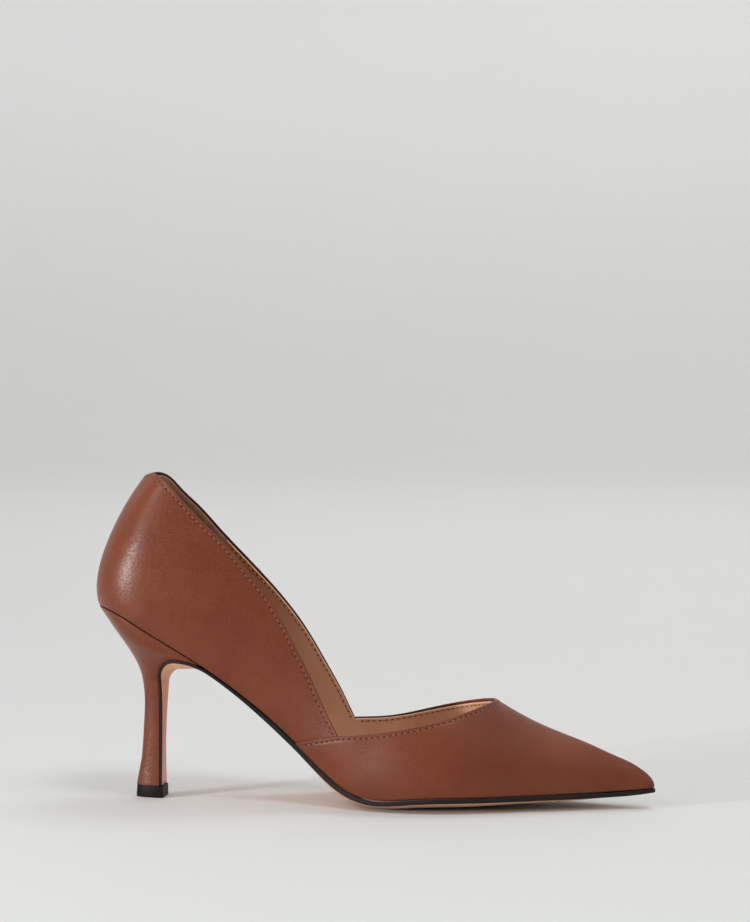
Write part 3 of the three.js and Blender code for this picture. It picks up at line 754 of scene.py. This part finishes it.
def footFall(height):  # how far the wall turns in at its foot
    r = leatherCut["footRound"]
    low = np.clip(r - height, 0, r)
    return (r - np.sqrt(np.maximum(0, r * r - low * low))) * leatherCut["footTurn"]


def trough(distance):
    return leatherCut["trough"] * np.exp(-((distance - leatherCut["stitchInset"]) / leatherCut["troughWidth"]) ** 2)


def leatherRows(side, u, top):
    up, height = rowsDown(side, u, top, leatherCut["topRows"], leatherCut["footRows"], leatherCut["middleRows"])
    return *onLast(side, u[:, None], up), height


quarterCut = {
    "stations": 110, "crowding": 1.12,
    "fullness": 0.45, "fullHeight": 96, "fullSpread": 17, "fullFrom": -4, "fullRun": 22,
}


def fullness(p):  # the counter's belly at the back
    high = np.exp(-((p[..., 2] - quarterCut["fullHeight"]) / quarterCut["fullSpread"]) ** 2)
    return quarterCut["fullness"] * high * (1 - smooth((p[..., 0] - quarterCut["fullFrom"]) / quarterCut["fullRun"]))


def layQuarter():
    grids = []
    for side in sides:
        u = np.linspace(0, 1, quarterCut["stations"]) ** quarterCut["crowding"] * cutStation[side]
        p, n, height = leatherRows(side, u, collarUp(side, u))
        under = (u[:, None] > wingStation[side]) & (p[..., 2] < seamHeight(side, p[..., 0]))
        sunk = np.where(under, np.minimum(0, stepAt(side, p) - upper["wingStep"]), 0)
        off = sunk - footFall(height) - trough(distanceTo(quarterEdge[side], p)) + fullness(p)
        outer = p + n * off[..., None]
        inner = p - n * leatherCut["thickness"]
        top = rim(side, outer[:, -1], inner[:, -1], leatherCut["edgeBulge"], midPlane * side)
        inside = height > height[:, -1:] - leatherCut["paintReach"]
        grids += wallGrids(outer, inner, top, inside, leatherCut["rimPaint"], fanned=True)
    addPiece("quarter_leather", grids, "quarter", "upper_leather", "upper")


vampCut = {
    "wingStations": 36, "frontStations": 90, "frontCrowding": 1.6, "toeStations": 90, "toeCrowding": 1.5,
    "levelHeight": 2.5, "toeThickness": 0.25, "toeGain": 0.6, "paintLeft": 0.35, "paintFrom": 20, "paintRun": 30,
}


def layVamp():
    grids = []
    for side in sides:
        wingEnd, cut = wingStation[side], cutStation[side]
        u = joined(np.linspace(wingEnd, cut, vampCut["wingStations"])[:-1], cut, cut + 2e-5,
                   mix(cut, throatStation, eased(vampCut["frontStations"], vampCut["frontCrowding"])[1:]),
                   mix(throatStation, 1, eased(vampCut["toeStations"], vampCut["toeCrowding"]))[1:])
        p, n, height = leatherRows(side, u, seamUp(side, u))
        step = np.where(u[:, None] <= wingEnd + hair, 0, stepAt(side, p))
        level = (1 - smooth(height / vampCut["levelHeight"]))[..., None] * (step > 0)[..., None]
        n = unit(n * (1 - level) + outward(side, u)[:, None, :] * level)
        off = step - footFall(height) * (step < 0.1) - trough(distanceTo(vampEdge, p))
        outer = p + n * off[..., None]
        halfWidth = np.abs(feather(side, u)[:, 1])
        narrow = np.minimum(leatherCut["thickness"], vampCut["toeThickness"] + vampCut["toeGain"] * halfWidth)
        inside = np.where(u[:, None] <= cut + hair, step - leatherCut["lap"], -narrow[:, None])
        inner = p + n * inside[..., None]
        isOpen = u <= throatStation + hair
        top = rim(side, outer[isOpen, -1], inner[isOpen, -1], leatherCut["edgeBulge"], None, midPlane * -side)
        gone = smooth((p[:, -1, 0] - cutAlong[side] - vampCut["paintFrom"]) / vampCut["paintRun"])
        ahead = (u > cut + hair) * mix(1, vampCut["paintLeft"], gone)
        under = (height > height[:, -1:] - leatherCut["paintReach"]) * (ahead * isOpen)[:, None]
        paint = np.array(leatherCut["rimPaint"]) * ahead[isOpen, None]
        grids += wallGrids(outer, inner, top, under, paint, ended=False)
    addPiece("vamp_leather", grids, "vamp", "upper_leather", "upper")


layQuarter()
layVamp()

# Lining and heel grip

lining = {
    "edgeBulge": 0.16, "edgeSteps": 4, "gap": 0.02, "toeStation": 0.985,
    "topRows": (0, 0.3, 0.8, 1.4, 2.0, 3.0), "footRows": (0, 1.0), "middleRows": 26,
    "backStations": 130, "frontStations": 100, "frontCrowding": 1.6, "toeStations": 50,
    "drop": 0.3, "moreDrop": 0.5, "backFrom": 55, "frontFrom": 112, "dropRun": 50,
}


def liningDrop(x):  # how far the lining's edge stays below the leather's, more at the back and at the throat
    back = 1 - smooth((x - lining["backFrom"]) / lining["dropRun"])
    return lining["drop"] + lining["moreDrop"] * (back + smooth((x - lining["frontFrom"]) / lining["dropRun"]))


def liningTop(side, u):
    return np.where(np.asarray(u) >= liningThroat - hair, 1.0, loweredUp(side, u, liningDrop))


def findLiningThroat():
    fine = np.linspace(throatStation, throatStation + 0.02, 200)
    return max(float(fine[np.argmax(loweredUp(side, fine, liningDrop) > 1 - 1e-6)]) for side in sides)


liningThroat = findLiningThroat()


def layLining():
    grids = []
    for side in sides:
        cut = cutStation[side]
        u = joined(np.linspace(0, cut, lining["backStations"])[:-1],
                   mix(cut, liningThroat, eased(lining["frontStations"], lining["frontCrowding"])),
                   np.linspace(liningThroat, lining["toeStation"], lining["toeStations"])[1:])
        rows = lining["topRows"], lining["footRows"], lining["middleRows"]
        up, height = rowsDown(side, u, liningTop(side, u), *rows)
        p, n = onLast(side, u[:, None], up)
        outer = p - n * (leatherCut["thickness"] + lining["gap"])
        inner = p - n * upper["wall"]
        isOpen = u <= liningThroat + hair
        edge = rim(side, outer[isOpen, -1], inner[isOpen, -1], lining["edgeBulge"], midPlane * side,
                   midPlane * -side, lining["edgeSteps"])
        grids += wallGrids(outer, inner, edge, topMarks=1)
    addPiece("lining_leather", grids, "lining", "lining_leather", "upper")


grip = {
    "thickness": 0.4, "gap": 0.05, "top": 53, "foot": 44, "rise": 0.12,
    "stations": 60, "rows": 40, "thinFrom": 0.96, "thinned": 0.75,
}


def collarBehind(side, x):
    return collarStation(side, x, cutStation[side], 400)


def layGrip():
    grids = []
    for side in sides:
        share = np.linspace(0, 1, grip["stations"])[:, None]
        v = np.linspace(0, 1, grip["rows"])[None, :]
        u = share * mix(float(stationAt(grip["foot"])), collarBehind(side, grip["top"]), smooth(v))
        p, n = onLast(side, u, v * liningTop(side, u))
        outer = p - n * (leatherCut["thickness"] + grip["gap"])
        ease = 1 - grip["thinned"] * smooth((share - grip["thinFrom"]) / (1 - grip["thinFrom"]))
        inner = p - n * (upper["wall"] + grip["thickness"] * ease)[..., None]
        top = rim(side, outer[:, -1], inner[:, -1], lining["edgeBulge"] + grip["rise"], midPlane * side,
                  None, lining["edgeSteps"])
        grids += wallGrids(outer, inner, top, fanned=True)
    addPiece("heel_grip", grids, "grip", "lining_leather")


layLining()
layGrip()

# Sock, sole, heel and tip

archAlong = heel["breastReach"] + heel["archRadius"]
archReach = archAlong + heel["archRun"]
breastFoot = heel["tipHeight"] + sole["clearance"]
archTop = float(bottomLine(archAlong)[0]) - sole["clearance"] - heel["wedgeDepth"]
springTop = archTop - heel["archRadius"]
shankJoin = bottomPoint(archReach, 0, 1, -sole["clearance"])
joinPull = heel["archRun"] / 3
archOut = np.array((
    (archAlong, archTop),
    (archAlong + joinPull, archTop),
    (shankJoin[0] - joinPull, shankJoin[2] - joinPull * float(bottomLine(archReach)[1])),
    (shankJoin[0], shankJoin[2]),
))


def breastLine(front):  # 0 to 1 up the shaft, to 2 round the arch, to 3 at the shank
    front = np.asarray(front, float)
    shaft = np.stack([np.full(front.shape, float(heel["breastReach"])), mix(breastFoot, springTop, front)], -1)
    angle = (front - 1) * np.pi / 2
    arch = np.stack([archAlong - np.cos(angle) * heel["archRadius"],
                     springTop + np.sin(angle) * heel["archRadius"]], -1)
    t = (front - 2)[..., None]
    s = 1 - t
    out = archOut[0] * s ** 3 + archOut[1] * 3 * s * s * t + archOut[2] * 3 * s * t * t + archOut[3] * t ** 3
    return np.where((front <= 1)[..., None], shaft, np.where((front <= 2)[..., None], arch, out))


def breastPoint(front, y, across, offset):
    line = breastLine(front)
    way = unit(breastLine(np.minimum(3, front + 0.01)) - breastLine(np.maximum(0, front - 0.01)))
    rounding = mix(sole["flapCrown"], float(bottomLine(archReach)[2]), smooth(front - 2)) * smooth(front / 2)
    off = offset + rounding * (1 - np.abs(across) ** last["crownFullness"])
    return points(line[..., 0] + off * way[..., 1], y, line[..., 1] - off * way[..., 0])


heelColumns = ("rise", "sweep", "flare", "front", "seat")
heelRows = (
    (0.0, 0.19, 0.046, 0.0, 0.0),
    (0.067, 0.141, 0.028, 0.112, 0.0),
    (0.167, 0.073, 0.01, 0.28, 0.0),
    (0.306, 0.033, 0.0, 0.514, 0.0),
    (0.444, 0.006, 0.008, 0.746, 0.0),
    (0.532, 0.019, 0.046, 0.894, 0.0),
    (0.599, 0.056, 0.113, 1.05, 0.02),
    (0.668, 0.134, 0.246, 1.3, 0.1),
    (0.746, 0.288, 0.426, 1.6, 0.28),
    (0.819, 0.472, 0.595, 1.85, 0.5),
    (0.879, 0.644, 0.749, 2.06, 0.7),
    (0.932, 0.797, 0.872, 2.26, 0.86),
    (0.972, 0.917, 0.959, 2.45, 0.96),
    (1.0, 1.0, 1.0, 2.6, 1.0),
)
heelKnots = np.linspace(0, 1, len(heelRows))
heelShape = {name: spline(heelKnots, [row[i] for row in heelRows], False) for i, name in enumerate(heelColumns)}
heelFront = heelRows[-1][3]
heelReach = float(breastPoint(np.array(heelFront), 0, 1, -sole["clearance"])[0])


def seatRim(x):
    return bottomPoint(np.maximum(x, 0), 0, 1, -sole["clearance"])[..., 2]


def heelPoint(side, s, turned):  # turned runs from the front corner, 0, to the middle of the back, 1
    s, turned = np.broadcast_arrays(np.asarray(s, float), np.asarray(turned, float))
    front = breastPoint(np.clip(heelShape["front"](s), 0, heelFront), 0, 1, -sole["clearance"])
    seat = np.clip(heelShape["seat"](s), 0, 1)
    depth = mix(heel["shaftDepth"], heel["breastReach"], heelShape["sweep"](s))
    back = mix(breastFoot, last["seatHeight"] - heel["wedgeEdge"], heelShape["rise"](s))
    half = mix(heel["shaftWidth"], last["seatWidth"], heelShape["flare"](s)) / 2
    angle = turned * np.pi / 2
    edge = feather(side, float(stationAt(heelReach)) * (1 - turned))
    deep = mix(np.sin(angle), 1 - edge[..., 0] / heelReach, seat)
    wide = mix(np.cos(angle) * half, np.abs(edge[..., 1]), seat)
    backReach = heel["breastReach"] - depth
    x = mix(front[..., 0], backReach, deep)
    bow = seatRim(x) - mix(seatRim(front[..., 0]), seatRim(backReach), deep)
    return points(x, side * wide, mix(front[..., 2], back, deep) + seat ** 3 * bow)


def heelAcross(s, turned, t):
    return mix(heelPoint(-1, s, turned), heelPoint(1, s, turned), np.asarray(t, float)[..., None])


heelMake = {
    "stations": 110, "points": 26, "crowding": 1.25, "columns": 14, "tipGap": 0.02, "rimInset": 0.5, "rimSteps": 4,
    "capRings": 4,
}


def heelFace(s, t):  # the breast, under the sole's tongue
    y = heelAcross(s, 0, t)[..., 1]
    return breastPoint(np.clip(heelShape["front"](s), 0, heelFront), y, 2 * t - 1, -sole["clearance"])


def layHeel():
    rounds = eased(heelMake["points"], heelMake["crowding"])
    shares = np.linspace(0, 1, heelMake["columns"])
    s = np.linspace(0, 1, heelMake["stations"])[:, None]
    inner = heelAcross(s, rounds[None, :], np.zeros((1, 1)))
    outer = heelAcross(s, rounds[None, ::-1], np.ones((1, 1)))
    face = heelFace(s, np.broadcast_to(shares[None, ::-1], (len(s), len(shares))))
    skin = np.concatenate([inner, outer[:, 1:], face[:, 1:]], axis=1)
    foot = skin[:1].copy()
    foot[..., 2] = heel["tipHeight"] + heelMake["tipGap"]
    rings = [foot, skin]
    middle = skin[-1].mean(axis=0)
    for k in range(1, heelMake["rimSteps"] + 1):
        angle = k / heelMake["rimSteps"] * np.pi / 2
        ring = skin[-1:].copy()
        away = ring - middle
        size = np.maximum(np.linalg.norm(away[..., :2], axis=-1, keepdims=True), 1e-6)
        ring -= away / size * heelMake["rimInset"] * (1 - np.cos(angle))
        slope = bottomLine(ring[..., 0])[1]
        low = skin[-1:, :, 2] + slope * (ring[..., 0] - skin[-1:, :, 0])
        ring[..., 2] = mix(low, bottomPoint(ring[..., 0], 0, 1, -sole["clearance"])[..., 2], np.sin(angle))
        rings.append(ring)
    skin = np.concatenate(rings, axis=0)
    caps = [fan(ring, ring.mean(axis=0), heelMake["capRings"]) for ring in (skin[0], skin[-1])]
    addPiece("heel_cover", [(skin, 0), *caps], "heel", "heel_cover", "heel")


tip = {"points": 26, "columns": 6, "edge": 0.35, "topGap": 0.02, "capRings": 3}


def layTip():
    rounds = np.linspace(0, 1, tip["points"])
    angle = joined(rounds, 2 - rounds[::-1][1:]) * np.pi / 2

    def ring(z, shrink):
        flare = heel["tipFlare"] * (1 - z / heel["tipHeight"]) - shrink
        front = heel["breastReach"] + sole["flap"] + heel["tipLip"] - shrink
        x = front - (heel["tipLength"] - heel["tipFlare"] + flare - shrink) * np.sin(angle)
        body = points(x, -(heel["tipWidth"] / 2 - heel["tipFlare"] + flare) * np.cos(angle), z)
        return np.concatenate([body, strip(body[-1:], body[:1], tip["columns"])[0][1:]])

    e, h = tip["edge"], heel["tipHeight"]
    levels = ((0, e), (0.1 * e, 0.5 * e), (0.45 * e, 0.12 * e), (e, 0), (h * 0.5, 0), (h - e, 0),
              (h - 0.4 * e, 0.15 * e), (h - tip["topGap"], 0.5 * e))
    skin = np.stack([ring(z, shrink) for z, shrink in levels])
    caps = [fan(end, end.mean(axis=0), tip["capRings"]) for end in (skin[0], skin[-1])]
    addPiece("heel_tip", [(skin, 0), *caps], "tip", "tip_rubber", "top_piece")


def fullWidth(u):
    return feather(1, u)[:, 1] - feather(-1, u)[:, 1]


def bottomSpread(u, inset, offset, columns):
    ends = [feather(side, u) - outward(side, u) * np.reshape(inset, (-1, 1)) for side in sides]
    full = fullWidth(u)
    ratio = np.where(full > 0.01, (ends[1][:, 1] - ends[0][:, 1]) / np.maximum(full, 0.01), 1)
    p = ends[0][:, None, :] * (1 - columns[..., None]) + ends[1][:, None, :] * columns[..., None]
    across = np.minimum(1, np.abs(2 * columns - 1) * ratio[:, None])
    return bottomPoint(p[..., 0], p[..., 1], across, np.reshape(offset, (-1, 1)))


def closeColumns(widths, near, count):  # columns that stand close at both edges
    near = np.asarray(near, float)[None, :] / np.maximum(widths[:, None], 1e-6)
    near = np.minimum(near, np.linspace(0, 0.2, near.shape[1])[None, :])
    t = np.linspace(0, 1, count)[None, :]
    middle = near[:, -1:] + (1 - 2 * near[:, -1:]) * t
    return np.concatenate([near[:, :-1], middle, 1 - near[:, ::-1][:, 1:]], axis=1)


soleMake = {
    "stations": 190, "crowding": 1.15, "flapStations": 80, "columns": 22, "closeColumns": (0, 0.35, 0.8, 1.6),
    "edgeBulge": 0.14, "edgeSteps": 6, "toeThin": 0.45, "toeRun": 14,
}


def edgeStrip(top, under, way):
    bulge = soleMake["edgeBulge"] * np.sin(np.linspace(0, np.pi, soleMake["edgeSteps"] + 1))
    return strip(top, under, soleMake["edgeSteps"]) + way[:, None, :] * bulge[None, :, None]


def laySole():
    u = mix(1, float(stationAt(archReach)), np.linspace(0, 1, soleMake["stations"]) ** soleMake["crowding"])
    x = alongAt(u)
    forepart = smooth((x - archReach) / sole["waistFade"])
    thin = soleMake["toeThin"] * smooth((x - last["length"] + soleMake["toeRun"]) / soleMake["toeRun"])
    thick = mix(sole["flap"], sole["thickness"], forepart) - thin
    t = closeColumns(fullWidth(u), soleMake["closeColumns"], soleMake["columns"])
    margin = -sole["margin"] * forepart
    top = bottomSpread(u, margin, np.full(len(u), -sole["clearance"]), t)
    under = bottomSpread(u, margin, -sole["clearance"] - thick, t)
    under[..., 2] = np.maximum(0, under[..., 2])
    front = 3 * (1 - np.linspace(0, 1, soleMake["flapStations"]))[1:]
    fine = np.linspace(0, 1, 800)
    heelStation = np.interp(front, heelShape["front"](fine), fine)
    halves = []
    for side in sides:
        onHeel = np.abs(heelPoint(side, heelStation, 0.0)[:, 1])
        onShank = np.abs(feather(side, stationAt(breastLine(front)[:, 0]))[:, 1])
        halves.append(np.where(front >= heelFront, onShank, onHeel) * side)
    t = closeColumns(halves[1] - halves[0], soleMake["closeColumns"], soleMake["columns"])
    y = mix(halves[0][:, None], halves[1][:, None], t)
    flaps = [breastPoint(front[:, None], y, 2 * t - 1, off) for off in (0, sole["flap"])]
    top = np.concatenate([top, flaps[0]])
    under = np.concatenate([under, flaps[1]])
    marks = np.zeros(under.shape[:2])
    marks[:, 0] = marks[:, -1] = 1
    grids = [(top, 1), (under, marks)]
    for side, column in ((-1, 0), (1, -1)):
        way = np.concatenate([outward(side, u), np.broadcast_to((0, side, 0), (len(front), 3))])
        grids.append((edgeStrip(top[:, column], under[:, column], way), 1))
    grids.append((strip(top[-1], under[-1]), 1))
    addPiece("outsole_leather", grids, "sole", "sole_leather", "outsole")


sockMake = {
    "stations": 150, "crowding": 1.2, "columns": 18, "closeColumns": (0, 0.15, 0.45, 1.0), "leastWidth": 0.5,
    "edgeDrop": 0.35, "edgeRun": 0.6,
}


def laySock():
    inset = upper["wall"] + sole["clearance"]
    toe = float(stationAt(last["length"] - sole["insoleSetback"]))
    u = toe * (1 - np.linspace(0, 1, sockMake["stations"]) ** sockMake["crowding"])
    widths = np.maximum(fullWidth(u) - 2 * inset, sockMake["leastWidth"])
    t = closeColumns(widths, sockMake["closeColumns"], sockMake["columns"])
    top = bottomSpread(u, inset, np.full(len(u), sole["insole"]), t)
    edge = np.minimum(t, 1 - t) * widths[:, None]
    top[..., 2] -= sockMake["edgeDrop"] * (1 - np.clip(edge / sockMake["edgeRun"], 0, 1)) ** 2
    under = bottomSpread(u, inset, np.zeros(len(u)), t)
    edges = (strip(top[:, 0], under[:, 0]), strip(top[:, -1], under[:, -1]), strip(top[0], under[0]),
             strip(top[-1], under[-1]))
    addPiece("sock_leather", [(grid, 0) for grid in (top, under, *edges)], "sock", "lining_leather", "insole")


layHeel()
layTip()
laySole()
laySock()

# Stitches, by Geometry Nodes along lines that lie on the leather

stitch = {"pitch": 2.65, "length": 1.75, "width": 0.46, "height": 0.34, "wander": 0.07, "seed": 7, "lineStep": 0.4}
# holeShade sizes the dark beads laid on each needle hole, painted shade for the shadow inside the holes
holeShade = {"length": 0.85, "width": 0.72, "height": 0.26}


def stitchTree(name):
    tree = bpy.data.node_groups.new(name, "GeometryNodeTree")
    face = tree.interface
    face.new_socket("Geometry", in_out="INPUT", socket_type="NodeSocketGeometry")
    for label, kind in (("Count", "NodeSocketInt"), ("Trim", "NodeSocketFloat"), ("Length", "NodeSocketFloat"),
                        ("Width", "NodeSocketFloat"), ("Height", "NodeSocketFloat"),
                        ("Wander", "NodeSocketFloat"), ("Seed", "NodeSocketInt"),
                        ("Material", "NodeSocketMaterial")):
        face.new_socket(label, in_out="INPUT", socket_type=kind)
    face.new_socket("Geometry", in_out="OUTPUT", socket_type="NodeSocketGeometry")
    start = tree.nodes.new("NodeGroupInput")
    given = {socket.name: Wire(tree, socket) for socket in start.outputs}
    line = addNode(tree, "GeometryNodeMeshToCurve", {}, {0: given["Geometry"]})
    whole = addNode(tree, "GeometryNodeCurveLength", {}, {0: line})
    trimmed = addNode(tree, "GeometryNodeTrimCurve", {"mode": "LENGTH"},
                      {"Curve": line, 4: given["Trim"], 5: whole - given["Trim"]})
    even = addNode(tree, "GeometryNodeResampleCurve", {"mode": "COUNT"},
                   {"Curve": trimmed, "Count": given["Count"]})
    way = addNode(tree, "GeometryNodeInputTangent")
    facing = addNode(tree, "GeometryNodeInputNamedAttribute", {"data_type": "FLOAT_VECTOR"}, {0: "facing"})
    turn = addNode(tree, "FunctionNodeAlignRotationToVector", {"axis": "X"}, {"Vector": way})
    turn = addNode(tree, "FunctionNodeAlignRotationToVector", {"axis": "Z", "pivot_axis": "X"},
                   {"Rotation": turn, "Vector": facing})
    sway = addNode(tree, "FunctionNodeRandomValue", {"data_type": "FLOAT"},
                   {2: given["Wander"] * -1, 3: given["Wander"], "Seed": given["Seed"]}, 1)
    swayTurn = addNode(tree, "ShaderNodeCombineXYZ", {}, {"Z": sway})
    turn = addNode(tree, "FunctionNodeRotateRotation", {"rotation_space": "LOCAL"}, {0: turn, 1: swayTurn})
    grain = addNode(tree, "GeometryNodeMeshUVSphere", {}, {"Segments": 8, "Rings": 6, "Radius": 0.5})
    grain = addNode(tree, "GeometryNodeSetShadeSmooth", {}, {0: grain})
    upright = addNode(tree, "GeometryNodeTransform", {}, {"Geometry": grain, "Rotation": (0, math.pi / 2, 0)})
    size = addNode(tree, "ShaderNodeCombineXYZ", {},
                   {0: given["Length"], 1: given["Width"], 2: given["Height"]})
    placed = addNode(tree, "GeometryNodeInstanceOnPoints", {},
                     {"Points": even, "Instance": upright, "Rotation": turn, "Scale": size})
    real = addNode(tree, "GeometryNodeRealizeInstances", {}, {0: placed})
    dressed = addNode(tree, "GeometryNodeSetMaterial", {}, {"Geometry": real, "Material": given["Material"]})
    end = tree.nodes.new("NodeGroupOutput")
    tree.links.new(dressed.socket, end.inputs[0])
    return tree


stitches = stitchTree("stitchRow")


def sew(name, line, facing, sizes, count, trim, finish, wander=0.0):
    mesh = bpy.data.meshes.new(name)
    mesh.from_pydata([tuple(p) for p in line], [(i, i + 1) for i in range(len(line) - 1)], [])
    mesh.attributes.new("facing", "FLOAT_VECTOR", "POINT").data.foreach_set("vector", np.ravel(facing))
    obj = bpy.data.objects.new(name, mesh)
    bpy.context.scene.collection.objects.link(obj)
    modifier = obj.modifiers.new("stitches", "NODES")
    modifier.node_group = stitches
    given = {"Count": count, "Trim": trim, "Length": sizes["length"] / 1000, "Width": sizes["width"] / 1000,
             "Height": sizes["height"] / 1000, "Wander": wander, "Seed": stitch["seed"], "Material": finishes[finish]}
    for item in stitches.interface.items_tree:
        if item.in_out == "INPUT" and item.name in given:
            modifier[item.identifier] = given[item.name]
    made = bpy.data.meshes.new_from_object(obj.evaluated_get(bpy.context.evaluated_depsgraph_get()))
    obj.modifiers.remove(modifier)
    made.name = name
    obj.data = made
    finishPiece(obj, finish)
    print(f"{name}: {count} stitches")


def onPiece(name, line, facing):  # a line laid on the nearest face of a piece
    tree = BVHTree.FromObject(pieces[name], bpy.context.evaluated_depsgraph_get())
    spots, normals = [], []
    for p, n in zip(line, facing):
        at = Vector(((p[0] - originShift) / 1000, p[1] / 1000, p[2] / 1000))
        found, normal, _, _ = tree.find_nearest(at)
        spots.append(found)
        normals.append(normal if normal.dot(Vector(n)) > 0 else -normal)
    return np.array(spots), np.array(normals)


def evenly(line, step):
    gone = np.concatenate([[0], np.cumsum(np.linalg.norm(np.diff(line, axis=0), axis=1))])
    wanted = np.arange(0, gone[-1], step)
    return np.stack([np.interp(wanted, gone, line[:, i]) for i in range(line.shape[1])], axis=1)


def edgeRow(row, lift):  # set in from an edge, through spans of side, first and last station and height
    parts = []
    for side, low, high, up in row["spans"]:
        u = np.linspace(low, high, 400)
        p, n = onLast(side, u, up(side, u))
        parts.append(np.concatenate([p + n * lift(side, p)[:, None], n], axis=1))
    line = evenly(np.concatenate(parts), stitch["lineStep"])
    spots, outside = line[:, :3], unit(line[:, 3:6])
    side, low, high, _ = row["spans"][0]
    turn = -side * math.copysign(1, high - low)
    return spots - np.cross(outside, unit(np.gradient(spots, axis=0))) * turn * row["inset"], outside


def sewRow(name, row):
    inward = row.get("inward", False)
    lift = row.get("lift", lambda side, p: np.full(len(p), -upper["wall"] - 0.2 if inward else 0.3))
    line, outside = edgeRow(row, lift)
    spots, facing = onPiece(row["piece"], line, -outside if inward else outside)
    keep = slice(row["skip"], len(spots) - row["skip"])
    spots, facing = spots[keep], facing[keep]
    length = np.linalg.norm(np.diff(spots, axis=0), axis=1).sum() * 1000
    count = int(round(length / stitch["pitch"]))
    sew(name + "_thread", spots, facing, stitch, count, length / count / 2000, row.get("thread", "thread"),
        stitch["wander"])
    # the dark beads at the needle holes are painted shade
    sew(name + "_holes", spots, facing, holeShade, count + 1, 0.0, "holeShade")


wingStart = {side: wingStation[side] + 0.25 * (cutStation[side] - wingStation[side]) for side in sides}
inset = leatherCut["stitchInset"]
stitchRows = {
    "quarter_row": {"piece": "quarter_leather", "inset": inset, "skip": 6, "spans": [
        (-1, cutStation[-1], 0, collarUp), (1, 0, cutStation[1], collarUp)]},
    "vamp_row": {
        "piece": "vamp_leather", "inset": inset, "skip": 2,
        "lift": lambda side, p: stepAt(side, p) + 0.5,
        "spans": [
            (-1, wingStart[-1], cutStation[-1], seamUp), (-1, cutStation[-1], throatStation, collarUp),
            (1, throatStation, cutStation[1], collarUp), (1, cutStation[1], wingStart[1], seamUp)],
    },
    "inner_front_row": {
        "piece": "lining_leather", "inset": 1.0, "skip": 8, "inward": True, "thread": "innerThread",
        "spans": [(-1, cutStation[-1], liningThroat, liningTop), (1, liningThroat, cutStation[1], liningTop)],
    },
}
for side, label in ((-1, "near"), (1, "far")):
    stitchRows[f"inner_{label}_row"] = {
        "piece": "lining_leather", "inset": 1.0, "skip": 4, "inward": True, "thread": "innerThread",
        "spans": [(side, collarBehind(side, grip["top"] + 2), cutStation[side], liningTop)],
    }
for name, row in stitchRows.items():
    sewRow(name, row)

# Floor and lights

studio = {"floorRadius": 2.6, "coveRadius": 1.6, "wallTop": 3.4, "worldLight": 0.52}
shoeMiddle = (0.1, 0, 0.05)
lamps = {  # azimuth, elevation, distance, size, power, target
    "key": (-50, 9, 1.4, 0.15, 10.5, shoeMiddle),
    "overhead": (32, 64, 1.7, 0.48, 6, shoeMiddle),
    "rear": (158, 68, 1.7, 0.7, 5, shoeMiddle),
    "side": (-56, 36, 1.6, 0.3, 3, shoeMiddle),
    "fill": (82, 28, 2.0, 0.9, 4, shoeMiddle),
    "backdrop": (0, 38, 3.2, 2.0, 22.5, (0.1, 4.1, 0.15)),
}


def layFloor():
    floor, cove = studio["floorRadius"] * 1000, studio["coveRadius"] * 1000
    flat = joined(0, np.linspace(300, floor, 9))
    bend = np.linspace(0, np.pi / 2, 17)[1:]
    r = joined(flat, floor + cove * np.sin(bend), floor + cove)[:, None]
    z = joined(flat * 0, cove * (1 - np.cos(bend)), studio["wallTop"] * 1000)[:, None]
    turn = np.linspace(0, 2 * np.pi, 65)[None, :]
    middle = originShift + shoeMiddle[0] * 1000
    obj = gridObject("floor_sweep", [(points(middle + r * np.cos(turn), r * np.sin(turn), z), 0)])
    obj.data.materials.append(finishes["floor"])


def hangLamps():
    for name, (azimuth, elevation, distance, size, power, target) in lamps.items():
        data = bpy.data.lights.new(name, "AREA")
        data.shape = "DISK"
        data.size, data.energy = size, power
        light = bpy.data.objects.new(name, data)
        light.location = around(azimuth, elevation, distance, target)
        aim(light, target)
        light.visible_camera = False
        bpy.context.scene.collection.objects.link(light)


layFloor()
hangLamps()
world = bpy.data.worlds.new("studio")
world.use_nodes = True
world.node_tree.nodes["Background"].inputs["Color"].default_value = (1, 1, 1, 1)
world.node_tree.nodes["Background"].inputs["Strength"].default_value = studio["worldLight"]
bpy.context.scene.world = world
bpy.context.scene.view_settings.view_transform = "Standard"

print("scene ready")
